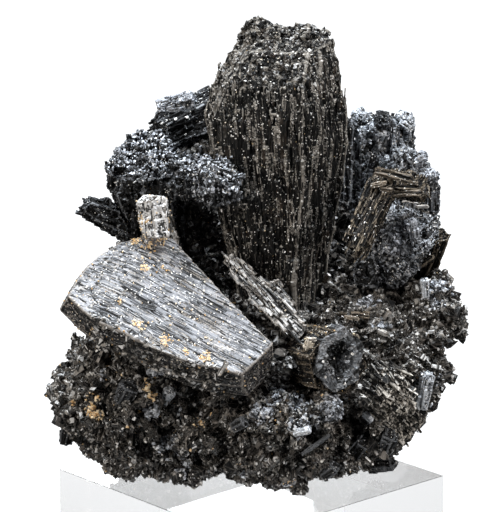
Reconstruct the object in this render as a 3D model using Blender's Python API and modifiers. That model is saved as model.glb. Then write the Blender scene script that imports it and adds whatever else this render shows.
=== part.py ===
"""A hand specimen of schorl, the black tourmaline, standing on its clear display block.

Large striated crystals rise out of a granular mass of small ones. Each large crystal is a solid of its
own, seated in a socket of that mass. Crystals that grew through each other are one solid. The block is
an acrylic square, and the specimen only rests on it.

+X is to the right and +Y away from someone who faces the specimen's front. +Z is up. The origin is the
centre of the block's underside. The functions work in millimetres, and the last step scales to metres.
"""

import math
import random

import bmesh
import bpy
from mathutils import Matrix, Vector, noise

MM = 0.001

# The display block.
BLOCK_SIDE = 41.6
BLOCK_HEIGHT = 20.0
BLOCK_TURN_DEG = 42.0
BLOCK_BEVEL = 0.4

# Where pieces meet.
GAP = 0.3
CUTTER_GROWTH = 0.45  # moved along a corner's normal, this leaves about GAP on the faces beside it
REST_HEIGHT = BLOCK_HEIGHT + GAP

# The granular mass.
MASS_VOXEL = 0.75
MASS_TRIANGLES = 3300
MASS_SEED = 7

# Outlines of a crystal's cross-section, as corners in half widths and half depths, anticlockwise.
HEXAGON = [(1, 0), (0.5, 1), (-0.5, 1), (-1, 0), (-0.5, -1), (0.5, -1)]
ROUNDED_TRIANGLE = [(1, -0.3), (0.72, 0.5), (0.25, 1), (-0.25, 1), (-0.72, 0.5), (-1, -0.3),
                    (-0.7, -0.85), (0, -1), (0.7, -0.85)]
BROAD_FRONT = [(1, -0.1), (0.85, 0.6), (0.1, 1), (-0.75, 0.8), (-1, 0), (-0.85, -0.75), (0.45, -1)]
SLAB = [(1, -1), (0.98, -0.1), (0.6, 0.9), (-0.3, 1), (-0.85, 0.5), (-1, -1)]
BLADE = [(1, -0.8), (0.9, 0.8), (-0.2, 1), (-1, 0.7), (-0.9, -1), (0.1, -0.9)]


# ---------------------------------------------------------------- small tools


def clear_scene():
    for obj in list(bpy.data.objects):
        bpy.data.objects.remove(obj)


def collection(name, helper=False):
    made = bpy.data.collections.new(name)
    bpy.context.scene.collection.children.link(made)
    made.hide_render = helper
    return made


def material(name, color, roughness, metallic=0.0, transmission=0.0):
    made = bpy.data.materials.new(name)
    made.use_nodes = True
    shader = made.node_tree.nodes["Principled BSDF"]
    shader.inputs["Base Color"].default_value = (*color, 1)
    shader.inputs["Roughness"].default_value = roughness
    shader.inputs["Metallic"].default_value = metallic
    shader.inputs["Transmission Weight"].default_value = transmission
    return made


def object_of(name, bm, group):
    mesh = bpy.data.meshes.new(name)
    bm.to_mesh(mesh)
    bm.free()
    obj = bpy.data.objects.new(name, mesh)
    group.objects.link(obj)
    return obj


def apply_modifiers(obj):
    graph = bpy.context.evaluated_depsgraph_get()
    mesh = bpy.data.meshes.new_from_object(obj.evaluated_get(graph))
    obj.modifiers.clear()
    obj.data = mesh


def combine(obj, other, operation):
    """A Boolean. EXACT empties the mass where a worn crystal's faces meet, so these use MANIFOLD."""
    step = obj.modifiers.new("Combine", "BOOLEAN")
    step.operation = operation
    step.solver = "MANIFOLD"
    step.object = other
    apply_modifiers(obj)


def keep_largest_body(obj):
    """Removes the loose chips that a cut leaves beside the main body."""
    bm = bmesh.new()
    bm.from_mesh(obj.data)
    unseen = set(bm.verts)
    bodies = []
    while unseen:
        body = []
        queue = [unseen.pop()]
        while queue:
            vert = queue.pop()
            body.append(vert)
            for edge in vert.link_edges:
                other = edge.other_vert(vert)
                if other in unseen:
                    unseen.remove(other)
                    queue.append(other)
        bodies.append(body)
    bodies.sort(key=len, reverse=True)
    for body in bodies[1:]:
        bmesh.ops.delete(bm, geom=body, context="VERTS")
    bm.to_mesh(obj.data)
    bm.free()


def between(stations, share):
    """The values of the stations at a share of the length, joined by straight runs."""
    for before, after in zip(stations, stations[1:]):
        if share <= after[0]:
            part = (share - before[0]) / (after[0] - before[0])
            return [a + (b - a) * part for a, b in zip(before[1:], after[1:])]
    return list(stations[-1][1:])


# ---------------------------------------------------------------- crystals


def divided(outline, per_side, flute):
    """The outline with each side split, and every second new point drawn in to make flutes."""
    points = []
    for (x0, y0), (x1, y1) in zip(outline, outline[1:] + outline[:1]):
        for i in range(per_side):
            part = i / per_side
            inward = 1 - flute * (i % 2)
            points.append(((x0 + (x1 - x0) * part) * inward, (y0 + (y1 - y0) * part) * inward))
    return points


def crystal_axes(foot, tip, face):
    """A frame with Z from foot to tip and -Y towards face, standing on foot."""
    foot, tip, face = Vector(foot), Vector(tip), Vector(face)
    z = (tip - foot).normalized()
    y = -(face - z * face.dot(z)).normalized()
    x = y.cross(z)
    return Matrix.Translation(foot) @ Matrix((x, y, z)).transposed().to_4x4()


def add_crystal(bm, foot, tip, face, outline, stations, per_side=3, rows=5, rings=3,
                flute=0.0, wear=0.15, tip_end=None, foot_end=None, seed=0):
    """Adds one closed crystal. stations are (share of length, width, depth, shift in x, shift in y).

    The two ends are rings drawn in to a point, and tip_end and foot_end give their height over x and y.
    """
    section = divided(outline, per_side, flute)
    around, along = len(section), rows + 2 * rings
    length = (Vector(tip) - Vector(foot)).length
    frame = crystal_axes(foot, tip, face)
    made = bmesh.ops.create_uvsphere(bm, u_segments=around, v_segments=along, radius=1.0)
    for vert in made["verts"]:
        ring = round(math.acos(max(-1, min(1, -vert.co.z))) / math.pi * along)
        step = round(math.atan2(vert.co.y, vert.co.x) / math.tau * around) % around
        spread = min(1.0, ring / rings, (along - ring) / rings)
        share = min(1.0, max(0.0, (ring - rings) / rows))
        width, depth, shift_x, shift_y = between(stations, share)
        x = spread * section[step][0] * width / 2
        y = spread * section[step][1] * depth / 2
        z = share * length
        if tip_end:
            z += tip_end(x, y) * max(0.0, (share - 0.5) / 0.5) ** 2
        if foot_end:
            z -= foot_end(x, y) * max(0.0, (0.5 - share) / 0.5) ** 2
        worn = noise.noise_vector(Vector((x, y, z)) * 0.45 + Vector((seed, 0, 0))) * wear
        vert.co = frame @ (Vector((x + shift_x, y + shift_y, z)) + worn)


def crystal(name, *args, group, look, **options):
    bm = bmesh.new()
    add_crystal(bm, *args, **options)
    return finished(name, bm, group, look)


def finished(name, bm, group, look):
    obj = object_of(name, bm, group)
    obj.data.materials.append(look)
    return obj


def joined(name, bodies, group, look):
    """One solid of several crystals that grew through each other."""
    first = object_of(name, bodies[0], group)
    for body in bodies[1:]:
        other = object_of(name + "_part", body, group)
        combine(first, other, "UNION")
        bpy.data.objects.remove(other)
    first.data.materials.clear()
    first.data.materials.append(look)
    return first


def body(*args, **options):
    bm = bmesh.new()
    add_crystal(bm, *args, **options)
    return bm


def slope(along_x, along_y, dome=0.0, size=1.0):
    """An end that tilts, and rises by dome in its middle."""
    return lambda x, y: along_x * x + along_y * y + dome * max(0.0, 1 - (x * x + y * y) / size**2)


def bumps(*peaks, tilt=(0.0, 0.0)):
    """An end with rounded peaks, each (x, y, height, radius), on a tilted plane."""
    def height(x, y):
        total = tilt[0] * x + tilt[1] * y
        for peak_x, peak_y, rise, radius in peaks:
            total += rise * math.exp(-((x - peak_x) ** 2 + (y - peak_y) ** 2) / radius**2)
        return total
    return height


def upright_crystal(group, look):
    """The large standing crystal: a fluted sheaf that flares upwards and ends in a worn, two-peaked top."""
    stations = [(0.0, 11.5, 9.0, -0.4, 0.0), (0.28, 14.2, 10.5, -0.5, 0.0), (0.44, 17.9, 12.5, -0.1, 0.0),
                (0.61, 20.2, 14.5, 0.2, 0.0), (0.75, 21.0, 15.0, 0.1, 0.0), (0.84, 19.6, 14.0, 0.5, 0.0),
                (0.92, 17.4, 12.0, 0.9, 0.4), (1.0, 13.4, 8.5, 2.4, 1.0)]
    top = bumps((-4.6, 1.0, 3.0, 2.4), (3.6, 0.5, 1.3, 2.2), tilt=(0.0, 0.35))
    return crystal("upright_crystal", (5, 1, 40), (3, 4, 85.6), (-0.12, -1, 0.05), BROAD_FRONT, stations,
                   group=group, look=look, per_side=4, rows=9, rings=4, flute=0.045, wear=0.6,
                   tip_end=top, seed=1)


def leaning_crystal(group, look):
    """The second large crystal: it lies over the left shoulder with one broad face turned up and forwards."""
    stations = [(0.0, 13.8, 7.4, -1.0, 0.0), (0.1, 18.0, 8.8, -1.5, 0.0), (0.24, 20.6, 9.8, -1.7, 0.0),
                (0.42, 18.4, 9.4, -1.0, 0.0), (0.75, 12.8, 8.0, 0.3, 0.0), (1.0, 7.8, 6.0, 0.1, -0.6)]
    broken = slope(-0.12, 0.1)
    return crystal("leaning_crystal", (-24.5, -7.7, 51.2), (0.8, -17.8, 40.8), (0.137, -0.525, 0.84), SLAB,
                   stations, group=group, look=look, per_side=4, rows=8, rings=3, flute=0.02, wear=0.35,
                   tip_end=broken, foot_end=slope(0.05, 0.2, 1.2, 8.0), seed=2)


def left_stub_crystals(group, look):
    """The stout worn crystal at the upper left, with the rounded knob grown into its right side."""
    stub = body((-13.5, 8.0, 49), (-15.4, 4.6, 68), (-0.15, -1, 0.1), ROUNDED_TRIANGLE,
                [(0.0, 8.6, 9.0, 0, 0), (0.55, 9.4, 9.6, 0, 0), (0.8, 12.2, 10.8, -0.2, 0),
                 (0.95, 13.4, 10.8, -0.4, 0), (1.0, 12.4, 9.6, -0.4, 0)],
                per_side=2, rows=6, rings=3, flute=0.05, wear=0.6,
                tip_end=bumps((-1.5, 1, 1.6, 3.5), (3, 0, 0.8, 2.5), tilt=(0.05, 0.4)), seed=3)
    knob = body((-12.0, 4.5, 65.4), (-3.4, -5.8, 66.4), (0.0, -0.4, 1), HEXAGON,
                [(0.0, 6.2, 5.6, 0, 0), (0.5, 6.6, 6.0, 0, 0), (0.8, 7.4, 6.8, 0, 0), (1.0, 6.4, 6.0, 0, 0)],
                per_side=2, rows=4, rings=3, flute=0.04, wear=0.7,
                tip_end=slope(0, 0, 1.0, 3.0), seed=4)
    return joined("left_stub_crystals", [stub, knob], group, look)


def back_left_crystal(group, look):
    """A prism that leans behind the stub, with its long edges running up to the right."""
    return crystal("back_left_crystal", (-13.6, 11.0, 69.6), (-4.6, 15.0, 73.2), (-0.3, -0.5, 0.8), HEXAGON,
                   [(0.0, 7.0, 6.6, 0, 0), (1.0, 7.6, 7.0, 0, 0)], group=group, look=look,
                   per_side=2, rows=3, rings=2, flute=0.04, wear=0.4, foot_end=slope(0.1, 0.2, 0.6, 4),
                   seed=5)


def side_point_crystal(group, look):
    """The small blunt point at the far left."""
    return crystal("side_point_crystal", (-14.5, 6.0, 56.4), (-24.6, 4.0, 60.6), (0.0, -0.5, 0.9), HEXAGON,
                   [(0.0, 7.0, 6.6, 0, 0), (0.6, 5.8, 5.4, 0, 0), (1.0, 3.4, 3.2, 0, 0)],
                   group=group, look=look, per_side=2, rows=4, rings=2, flute=0.05, wear=0.4,
                   tip_end=slope(0, 0, 0.8, 2), seed=6)


def pale_crystal(group, look):
    """The small weathered crystal that stands on the upper edge of the leaning one."""
    return crystal("pale_crystal", (-12.6, 0.8, 53.6), (-14.2, -3.0, 61.8), (-0.2, -1, 0.2), HEXAGON,
                   [(0.0, 3.6, 3.6, 0, 0), (0.5, 5.4, 4.4, 0, 0), (0.85, 5.6, 4.4, 0, 0), (1.0, 4.2, 3.2, 0, 0)],
                   group=group, look=look, per_side=2, rows=4, rings=2, flute=0.05, wear=0.35,
                   tip_end=slope(0.1, 0.3, 0.8, 2), seed=8)


def splinter_crystals(group, look):
    """The forked splinter that lies between the two large crystals, all of it grown as one."""
    blade = body((-3.2, -3.2, 54.6), (8.2, -13.0, 44.6), (-0.15, -0.75, 0.65), BLADE,
                 [(0.0, 1.4, 1.4, 0, 0), (0.2, 3.2, 1.8, 0.2, 0), (0.3, 2.2, 1.6, 0.2, 0),
                  (0.36, 3.6, 2.2, 0.3, 0), (0.7, 3.6, 2.2, 0, 0), (1.0, 2.0, 1.6, 0, 0)],
                 per_side=2, rows=10, rings=2, flute=0.06, wear=0.25, seed=9)
    fork = body((3.4, -6.0, 51.4), (6.6, -11.4, 46.2), (0.0, -0.8, 0.6), BLADE,
                [(0.0, 1.6, 1.4, 0, 0), (0.5, 2.2, 1.6, 0, 0), (1.0, 1.6, 1.4, 0, 0)],
                per_side=2, rows=4, rings=2, flute=0.05, wear=0.15, seed=10)
    return joined("splinter_crystals", [blade, fork], group, look)


def hexagonal_crystal(group, look):
    """The stout crystal at the front that shows its six-sided end, with a hollow in the middle of it."""
    hollow = bumps((0.4, 0.6, -1.5, 2.2), (-1.0, -2.6, -0.5, 1.5), tilt=(0.05, -0.05))
    return crystal("hexagonal_crystal", (8.8, -8.6, 41.4), (12.6, -17.0, 42.6), (0.25, 0.2, 1), HEXAGON,
                   [(0.0, 9.2, 8.4, 0, 0), (0.8, 10.4, 9.2, 0, 0), (1.0, 10.0, 8.8, 0, 0)],
                   group=group, look=look, per_side=3, rows=3, rings=4, flute=0.015, wear=0.22,
                   tip_end=hollow, seed=11)


def blade_crystals(group, look):
    """The two brown bladed crystals that cross at the right: one points down, the other lies level."""
    down = body((20.4, -2.0, 67.2), (15.7, -9.0, 58.6), (-0.3, -0.8, 0.5), BLADE,
                [(0.0, 3.4, 3.2, 0, 0), (0.2, 4.2, 3.8, 0, 0), (1.0, 3.6, 3.2, 0, 0)],
                per_side=3, rows=4, rings=2, flute=0.07, wear=0.12, seed=12)
    level = body((18.6, -2.6, 66.0), (25.6, 0.4, 63.8), (0.05, -0.75, 0.65), SLAB,
                 [(0.0, 3.2, 3.4, 0, 0), (0.5, 4.4, 3.6, 0, 0), (1.0, 3.8, 3.4, 0, 0)],
                 per_side=3, rows=5, rings=2, flute=0.09, wear=0.2, seed=13)
    return joined("blade_crystals", [down, level], group, look)


def right_block_crystal(group, look):
    """The stout crystal under the blades. Its worn end looks forwards and to the left."""
    return crystal("right_block_crystal", (24.2, 8.0, 55.4), (21.0, -2.6, 54.8), (0.3, 0.2, 1),
                   ROUNDED_TRIANGLE,
                   [(0.0, 9.6, 10.4, 0, 0), (0.5, 10.4, 12.2, 0, 0), (0.85, 9.6, 12.0, 0, 0),
                    (1.0, 7.6, 10.2, 0, 0)],
                   group=group, look=look, per_side=2, rows=4, rings=3, flute=0.03, wear=0.45,
                   tip_end=bumps((-0.5, 1.5, 1.0, 2.0), (1.0, -2.5, -0.6, 2.0)), seed=14)


def small_block_crystal(group, look):
    """The small crystal in the shade between the upright crystal and the right-hand group."""
    return crystal("small_block_crystal", (20.4, 2.6, 51.2), (16.8, -3.4, 52.6), (0.2, 0.2, 1), HEXAGON,
                   [(0.0, 4.4, 5.0, 0, 0), (1.0, 4.2, 4.8, 0, 0)],
                   group=group, look=look, per_side=2, rows=2, rings=2, wear=0.25,
                   tip_end=slope(0.1, 0.1, 0.4, 2), seed=15)


def right_back_crystals(group, look):
    """The stout dark crystal behind the blades, and the two glassy ones beside its top, grown together."""
    dark = body((20.0, 9.0, 48), (24.6, 8.2, 67.4), (0.35, -1, 0.1), ROUNDED_TRIANGLE,
                [(0.0, 9.4, 9.0, 0, 0), (0.5, 10.6, 10.4, 0.4, 0), (0.8, 10.4, 9.8, 0, 0),
                 (1.0, 6.8, 6.4, -0.4, 0)],
                per_side=2, rows=6, rings=3, flute=0.05, wear=0.8,
                tip_end=slope(-0.25, 0.1, 1.0, 3), seed=16)
    glassy = body((20.0, 11.0, 58.0), (22.7, 12.6, 71.2), (0.2, -1, 0.2), HEXAGON,
                  [(0.0, 6.0, 5.6, 0, 0), (0.8, 6.0, 5.4, 0, 0), (1.0, 4.6, 4.4, 0, 0)],
                  per_side=2, rows=4, rings=3, wear=0.4, tip_end=slope(0.05, 0.1, 1.2, 3), seed=17)
    pale = body((17.8, 10.0, 58.0), (17.6, 11.4, 72.0), (0.0, -1, 0.2), HEXAGON,
                [(0.0, 6.4, 5.6, 0, 0), (0.8, 6.2, 5.4, 0.6, 0), (1.0, 4.0, 4.0, -0.2, 0)],
                per_side=2, rows=4, rings=2, wear=0.7, tip_end=slope(0.3, 0.2, 0.8, 3), seed=18)
    return joined("right_back_crystals", [dark, glassy, pale], group, look)


def right_edge_crystal(group, look):
    """The small brown prism that stands out at the right-hand edge."""
    return crystal("right_edge_crystal", (25.6, 5.0, 47.6), (28.4, 1.4, 57.0), (0.4, -1, 0.2), HEXAGON,
                   [(0.0, 3.4, 3.0, 0, 0), (1.0, 3.0, 2.8, 0, 0)],
                   group=group, look=look, per_side=2, rows=3, rings=2, flute=0.06, wear=0.2,
                   tip_end=slope(0.2, 0.1), seed=19)


# ---------------------------------------------------------------- granular mass

# The lumps that make up the mass: centre, then half sizes along x, y and z.
LUMPS = [
    ((0, 1, 35), (21, 16, 13.5)),
    ((-17.6, -4, 34), (12, 13, 10.4)),
    ((17.6, 0, 37.4), (11.8, 14, 11.2)),
    ((12, -1, 29), (12.5, 12.5, 8.5)),
    ((4, -6, 30), (14, 12, 9.5)),
    ((-12, -3, 28), (13.4, 12, 7.8)),
    ((0, 11, 43), (18, 9, 14)),
    ((-12, 8, 48), (8.5, 7.5, 11)),
    ((-9, 12, 59), (5.5, 4.5, 11)),
    ((17.5, 9, 49), (8.5, 7.5, 11)),
    ((9, -6, 40), (10, 7.5, 6)),
    ((25.5, 1, 45), (5.5, 6.5, 5)),
    ((4, 8, 30), (15.5, 10.5, 9.5)),
]

# Hollows between the large crystals, as deep as the light never reaches.
HOLLOWS = [
    ((-7.5, -1.5, 57), (5, 9, 8.5)),
    ((-1.5, -7.5, 50.5), (6, 4.5, 5)),
    ((14.6, 1, 57), (3.4, 9, 8)),
]

# Crystals big enough to be known apart in the mass: foot, tip and half width.
SET_CRYSTALS = [
    ((4, -10, 27), (12.4, -17.6, 33.4), 1.3),
    ((9, -10, 36), (11.8, -17.6, 36.4), 2.3),
    ((14, -6, 30), (20.5, -11.5, 30), 4.2),
    ((13, -6, 26), (16, -12.6, 27.4), 3.4),
    ((21, -4, 38), (27.6, -8.4, 38), 3.0),
    ((21, 0, 32), (26, -3.6, 32.6), 2.8),
    ((-20, -2, 33), (-30.6, -1.4, 34.2), 3.0),
    ((-18, -8, 32), (-23, -15.5, 35), 3.4),
    ((-14, -10, 34), (-17, -18.2, 37.6), 3.2),
    ((-18, 0, 27), (-25.4, -2.6, 25.6), 2.7),
    ((-14, -2, 26), (-20.6, -5.4, 22.8), 2.4),
    ((-5, -10, 36), (-4.4, -20.6, 41.2), 1.9),
    ((-8, -8, 30), (-9.2, -18, 31), 3.2),
    ((26, 0, 43), (32.2, 0.4, 45.6), 2.2),
    ((-4, 12, 52), (-3, 16.6, 60), 4.0),
    ((10, 14, 52), (11, 18.6, 63), 3.6),
    ((2, 16, 40), (3, 22.4, 44), 4.0),
    ((-14, 12, 36), (-18, 19, 39), 3.6),
    ((16, 12, 36), (20, 19, 37), 3.6),
]
SMALL_CRYSTALS = 150
SMALL_HALF_WIDTH = (0.9, 2.2)
SMALL_HALF_LENGTH = (1.6, 3.4)


def inside_lump(point, depth):
    """Whether a point lies this far under the skin of any lump."""
    for centre, sizes in LUMPS:
        offset = [(p - c) / (s - depth) for p, c, s in zip(point, centre, sizes)]
        if sum(value * value for value in offset) < 1:
            return True
    return False


def add_prism(bm, middle, axis, half_length, half_width):
    """A six-sided prism whose free end is a little narrower."""
    place = Matrix.Translation(middle) @ axis.to_track_quat("Z", "Y").to_matrix().to_4x4()
    bmesh.ops.create_cone(bm, cap_ends=True, segments=6, radius1=half_width, radius2=half_width * 0.85,
                          depth=2 * half_length, matrix=place)


def granular_mass(group, look):
    """The mass of small intergrown crystals, with those on its skin fused to it."""
    chance = random.Random(MASS_SEED)
    bm = bmesh.new()
    for centre, sizes in LUMPS:
        place = Matrix.Translation(centre) @ Matrix.Diagonal((*sizes, 1))
        bmesh.ops.create_icosphere(bm, subdivisions=3, radius=1.0, matrix=place)
    for foot, tip, half_width in SET_CRYSTALS:
        line = Vector(tip) - Vector(foot)
        add_prism(bm, (Vector(foot) + Vector(tip)) / 2, line.normalized(), line.length / 2, half_width)
    placed = 0
    while placed < SMALL_CRYSTALS:
        centre, sizes = chance.choice(LUMPS)
        way = Vector([chance.gauss(0, 1) for _ in range(3)]).normalized()
        point = Vector([c + s * w for c, s, w in zip(centre, sizes, way)])
        if inside_lump(point, 1.0) or point.z < REST_HEIGHT:
            continue
        axis = (way + Vector([chance.uniform(-0.8, 0.8) for _ in range(3)])).normalized()
        half_length = chance.uniform(*SMALL_HALF_LENGTH)
        add_prism(bm, point - way * 0.3, axis, half_length, chance.uniform(*SMALL_HALF_WIDTH))
        placed += 1
    obj = object_of("granular_mass", bm, group)
    remesh = obj.modifiers.new("Fuse", "REMESH")
    remesh.mode = "VOXEL"
    remesh.voxel_size = MASS_VOXEL
    apply_modifiers(obj)
    for centre, sizes in HOLLOWS:
        hollow = bmesh.new()
        place = Matrix.Translation(centre) @ Matrix.Diagonal((*sizes, 1))
        bmesh.ops.create_icosphere(hollow, subdivisions=2, radius=1.0, matrix=place)
        hollow = object_of("hollow", hollow, group)
        combine(obj, hollow, "DIFFERENCE")
        bpy.data.objects.remove(hollow)
    for vert in obj.data.vertices:
        vert.co += noise.noise_vector(vert.co * 0.33) * 0.7 + noise.noise_vector(vert.co * 0.9) * 0.3
    triangles = obj.modifiers.new("Triangles", "TRIANGULATE")
    triangles.quad_method = "BEAUTY"
    thin = obj.modifiers.new("Thin", "DECIMATE")
    thin.ratio = MASS_TRIANGLES / (2 * len(obj.data.polygons))
    apply_modifiers(obj)
    obj.data.materials.clear()
    obj.data.materials.append(look)
    return obj


# ---------------------------------------------------------------- block and assembly


def display_block(group, look):
    """The clear acrylic square that the specimen rests on."""
    bm = bmesh.new()
    place = (Matrix.Translation((0, 0, BLOCK_HEIGHT / 2))
             @ Matrix.Rotation(math.radians(BLOCK_TURN_DEG), 4, "Z")
             @ Matrix.Diagonal((BLOCK_SIDE, BLOCK_SIDE, BLOCK_HEIGHT, 1)))
    bmesh.ops.create_cube(bm, size=1.0, matrix=place)
    bmesh.ops.bevel(bm, geom=bm.edges[:], offset=BLOCK_BEVEL, segments=2, affect="EDGES", profile=0.5)
    return finished("display_block", bm, group, look)


def cutter_for(obj, group):
    """A copy of a piece, grown so that what it cuts keeps the gap."""
    cutter = bpy.data.objects.new(obj.name + "_cutter", obj.data.copy())
    group.objects.link(cutter)
    grow = cutter.modifiers.new("Grow", "DISPLACE")
    grow.strength = CUTTER_GROWTH
    grow.mid_level = 0.0
    apply_modifiers(cutter)
    cutter.hide_render = True
    cutter.display_type = "WIRE"
    return cutter


def boxes_meet(first, second):
    def box(obj):
        corners = [v.co for v in obj.data.vertices]
        return [(min(c[i] for c in corners), max(c[i] for c in corners)) for i in range(3)]
    return all(a[0] < b[1] and b[0] < a[1] for a, b in zip(box(first), box(second)))


def cut(obj, cutters):
    for cutter in cutters:
        if boxes_meet(obj, cutter):
            combine(obj, cutter, "DIFFERENCE")
    keep_largest_body(obj)


def main():
    clear_scene()
    noise.seed_set(MASS_SEED)
    specimen = collection("schorl_specimen")
    helpers = collection("cutters", helper=True)

    black = material("schorl_black", (0.025, 0.025, 0.028), 0.35)
    sheen = material("schorl_silver_sheen", (0.06, 0.062, 0.068), 0.4)
    brown = material("schorl_brown", (0.07, 0.05, 0.035), 0.45)
    grains = material("schorl_grains", (0.03, 0.029, 0.03), 0.4)
    acrylic = material("clear_acrylic", (0.96, 0.97, 0.98), 0.03, transmission=1.0)

    block = display_block(specimen, acrylic)
    crystals = [
        upright_crystal(specimen, black),
        leaning_crystal(specimen, sheen),
        hexagonal_crystal(specimen, black),
        left_stub_crystals(specimen, black),
        right_back_crystals(specimen, black),
        right_block_crystal(specimen, black),
        blade_crystals(specimen, brown),
        splinter_crystals(specimen, sheen),
        back_left_crystal(specimen, black),
        side_point_crystal(specimen, black),
        pale_crystal(specimen, sheen),
        small_block_crystal(specimen, black),
        right_edge_crystal(specimen, brown),
    ]
    mass = granular_mass(specimen, grains)

    # Each crystal is cut back by those that grew before it, and the mass by all of them.
    cutters = [cutter_for(obj, helpers) for obj in [block] + crystals]
    for count, obj in enumerate(crystals, start=1):
        cut(obj, cutters[:count])
    cut(mass, cutters)

    for cutter in cutters:
        bpy.data.objects.remove(cutter)
    for obj in specimen.objects:
        obj.data.transform(Matrix.Scale(MM, 4))


main()
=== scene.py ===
# %% [markdown]
# # A specimen of schorl on a clear block
#
# Schorl is the black, iron-rich tourmaline. It grows as long prisms whose sides are covered with fine
# striations, which run along the prism. This specimen has a few large prisms that rise out of a granular
# mass of small ones, and it stands on a clear acrylic square.
#
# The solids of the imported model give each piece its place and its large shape. This lesson dresses them:
# each solid gets a fine skin, the skin gets ribs, breaks and grains from Geometry Nodes, and the finishes
# come from shader nodes. Loading the frame comes first, because every piece is measured against it.

import functools
import math
import random
from types import SimpleNamespace

import bmesh
import bpy
from mathutils import Matrix, Vector, noise
from mathutils.bvhtree import BVHTree


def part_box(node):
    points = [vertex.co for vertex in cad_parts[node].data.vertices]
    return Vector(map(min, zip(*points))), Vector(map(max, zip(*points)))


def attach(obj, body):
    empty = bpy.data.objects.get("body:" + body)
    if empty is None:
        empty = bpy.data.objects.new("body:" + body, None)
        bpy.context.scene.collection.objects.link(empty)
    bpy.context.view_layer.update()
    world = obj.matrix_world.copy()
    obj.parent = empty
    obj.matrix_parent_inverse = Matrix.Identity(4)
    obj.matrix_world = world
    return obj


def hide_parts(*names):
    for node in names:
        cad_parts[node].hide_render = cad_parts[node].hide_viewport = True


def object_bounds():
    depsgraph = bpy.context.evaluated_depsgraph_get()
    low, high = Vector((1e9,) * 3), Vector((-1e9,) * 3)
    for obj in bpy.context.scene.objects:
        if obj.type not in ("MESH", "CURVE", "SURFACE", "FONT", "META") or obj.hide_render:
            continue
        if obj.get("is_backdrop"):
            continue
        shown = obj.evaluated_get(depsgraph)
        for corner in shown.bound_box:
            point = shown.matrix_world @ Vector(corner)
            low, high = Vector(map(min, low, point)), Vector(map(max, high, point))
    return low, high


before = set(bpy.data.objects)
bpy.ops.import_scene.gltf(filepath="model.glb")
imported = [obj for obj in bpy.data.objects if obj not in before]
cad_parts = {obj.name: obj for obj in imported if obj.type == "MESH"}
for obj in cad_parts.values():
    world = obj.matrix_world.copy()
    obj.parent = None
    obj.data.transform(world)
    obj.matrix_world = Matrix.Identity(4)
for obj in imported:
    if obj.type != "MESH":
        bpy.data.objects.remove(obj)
cad_low, cad_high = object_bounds()
print("the solids reach from", [round(c, 4) for c in cad_low], "to", [round(c, 4) for c in cad_high])

# %% [markdown]
# ## Node trees that read like arithmetic
#
# A node tree built in a script soon drowns in lines that only add a node or a link. Here an output of a
# node is wrapped, so that a sum or a product of outputs adds the Math node by itself, and an index picks
# one of a vector's axes. The tree is known from the outputs, so only a node without them has to name it.

# %% Outputs that know arithmetic
def adds_node(operation, turned_round=False):
    """A method that does arithmetic by adding a node."""
    return lambda one, other: calc(operation, *((other, one) if turned_round else (one, other)))


class Out:
    """An output of a node. Arithmetic on it adds nodes to its tree."""

    __add__ = adds_node("ADD")
    __sub__, __rsub__ = adds_node("SUBTRACT"), adds_node("SUBTRACT", turned_round=True)
    __mul__, __rmul__ = adds_node("MULTIPLY"), adds_node("MULTIPLY", turned_round=True)
    __truediv__, __rtruediv__ = adds_node("DIVIDE"), adds_node("DIVIDE", turned_round=True)
    __gt__, __lt__ = adds_node("GREATER_THAN"), adds_node("LESS_THAN")

    def __init__(self, socket):
        self.socket, self.tree = socket, socket.id_data

    def __neg__(self):
        return self * -1.0

    def __getitem__(self, axis):
        return Node(self.tree, "ShaderNodeSeparateXYZ", {0: self})[axis]


class Node:
    """A new node. sockets maps an input's name or number to a value, or to the output that feeds it."""

    def __init__(self, tree, kind, sockets=None, **settings):
        self.made = tree.nodes.new(kind)
        for key, value in settings.items():
            setattr(self.made, key, value)
        for key, value in (sockets or {}).items():
            feed(self.made.inputs[key], value)

    def __getitem__(self, key):
        return Out(self.made.outputs[key])


def feed(socket, value):
    """Links an input to an output, or gives it a plain value."""
    if isinstance(value, Out):
        value.tree.links.new(value.socket, socket)
    else:
        socket.default_value = value


def tree_of(*values):
    return next(value.tree for value in values if isinstance(value, Out))


def is_vector(value):
    return isinstance(value, tuple) or isinstance(value, Out) and value.socket.type in ("VECTOR", "RGBA")


def calc(operation, *values, clamp=False):
    """One Math node, or a Vector Math node where a value is a vector, and its output."""
    tree, sockets = tree_of(*values), dict(enumerate(values))
    if not any(map(is_vector, values)):
        return Node(tree, "ShaderNodeMath", sockets, operation=operation, use_clamp=clamp)[0]
    if operation == "MULTIPLY" and not is_vector(values[1]):
        operation, sockets = "SCALE", {0: values[0], "Scale": values[1]}
    output = "Value" if operation in ("DOT_PRODUCT", "DISTANCE") else "Vector"
    return Node(tree, "ShaderNodeVectorMath", sockets, operation=operation)[output]


# %% Nodes that are used often
def ramp(value, low, high, to_low=0.0, to_high=1.0, kind="SMOOTHSTEP"):
    """A smooth step of value, from to_low at low to to_high at high."""
    return Node(value.tree, "ShaderNodeMapRange", {0: value, 1: low, 2: high, 3: to_low, 4: to_high},
                interpolation_type=kind)[0]


def mixed(share, first, second):
    """A mix of two colours, or of two numbers."""
    kind, at, result = ("RGBA", 6, 2) if is_vector(first) else ("FLOAT", 2, 0)
    return Node(share.tree, "ShaderNodeMix", {0: share, at: first, at + 1: second}, data_type=kind)[result]


def joined(x, y, z):
    return Node(tree_of(x, y, z), "ShaderNodeCombineXYZ", {0: x, 1: y, 2: z})[0]


def clouds(vector, scale, detail, roughness=0.5):
    return Node(vector.tree, "ShaderNodeTexNoise",
                {"Vector": vector, "Scale": scale, "Detail": detail, "Roughness": roughness})


def voronoi(vector, scale=1.0, **settings):
    return Node(vector.tree, "ShaderNodeTexVoronoi", {"Vector": vector, "Scale": scale}, **settings)


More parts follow.
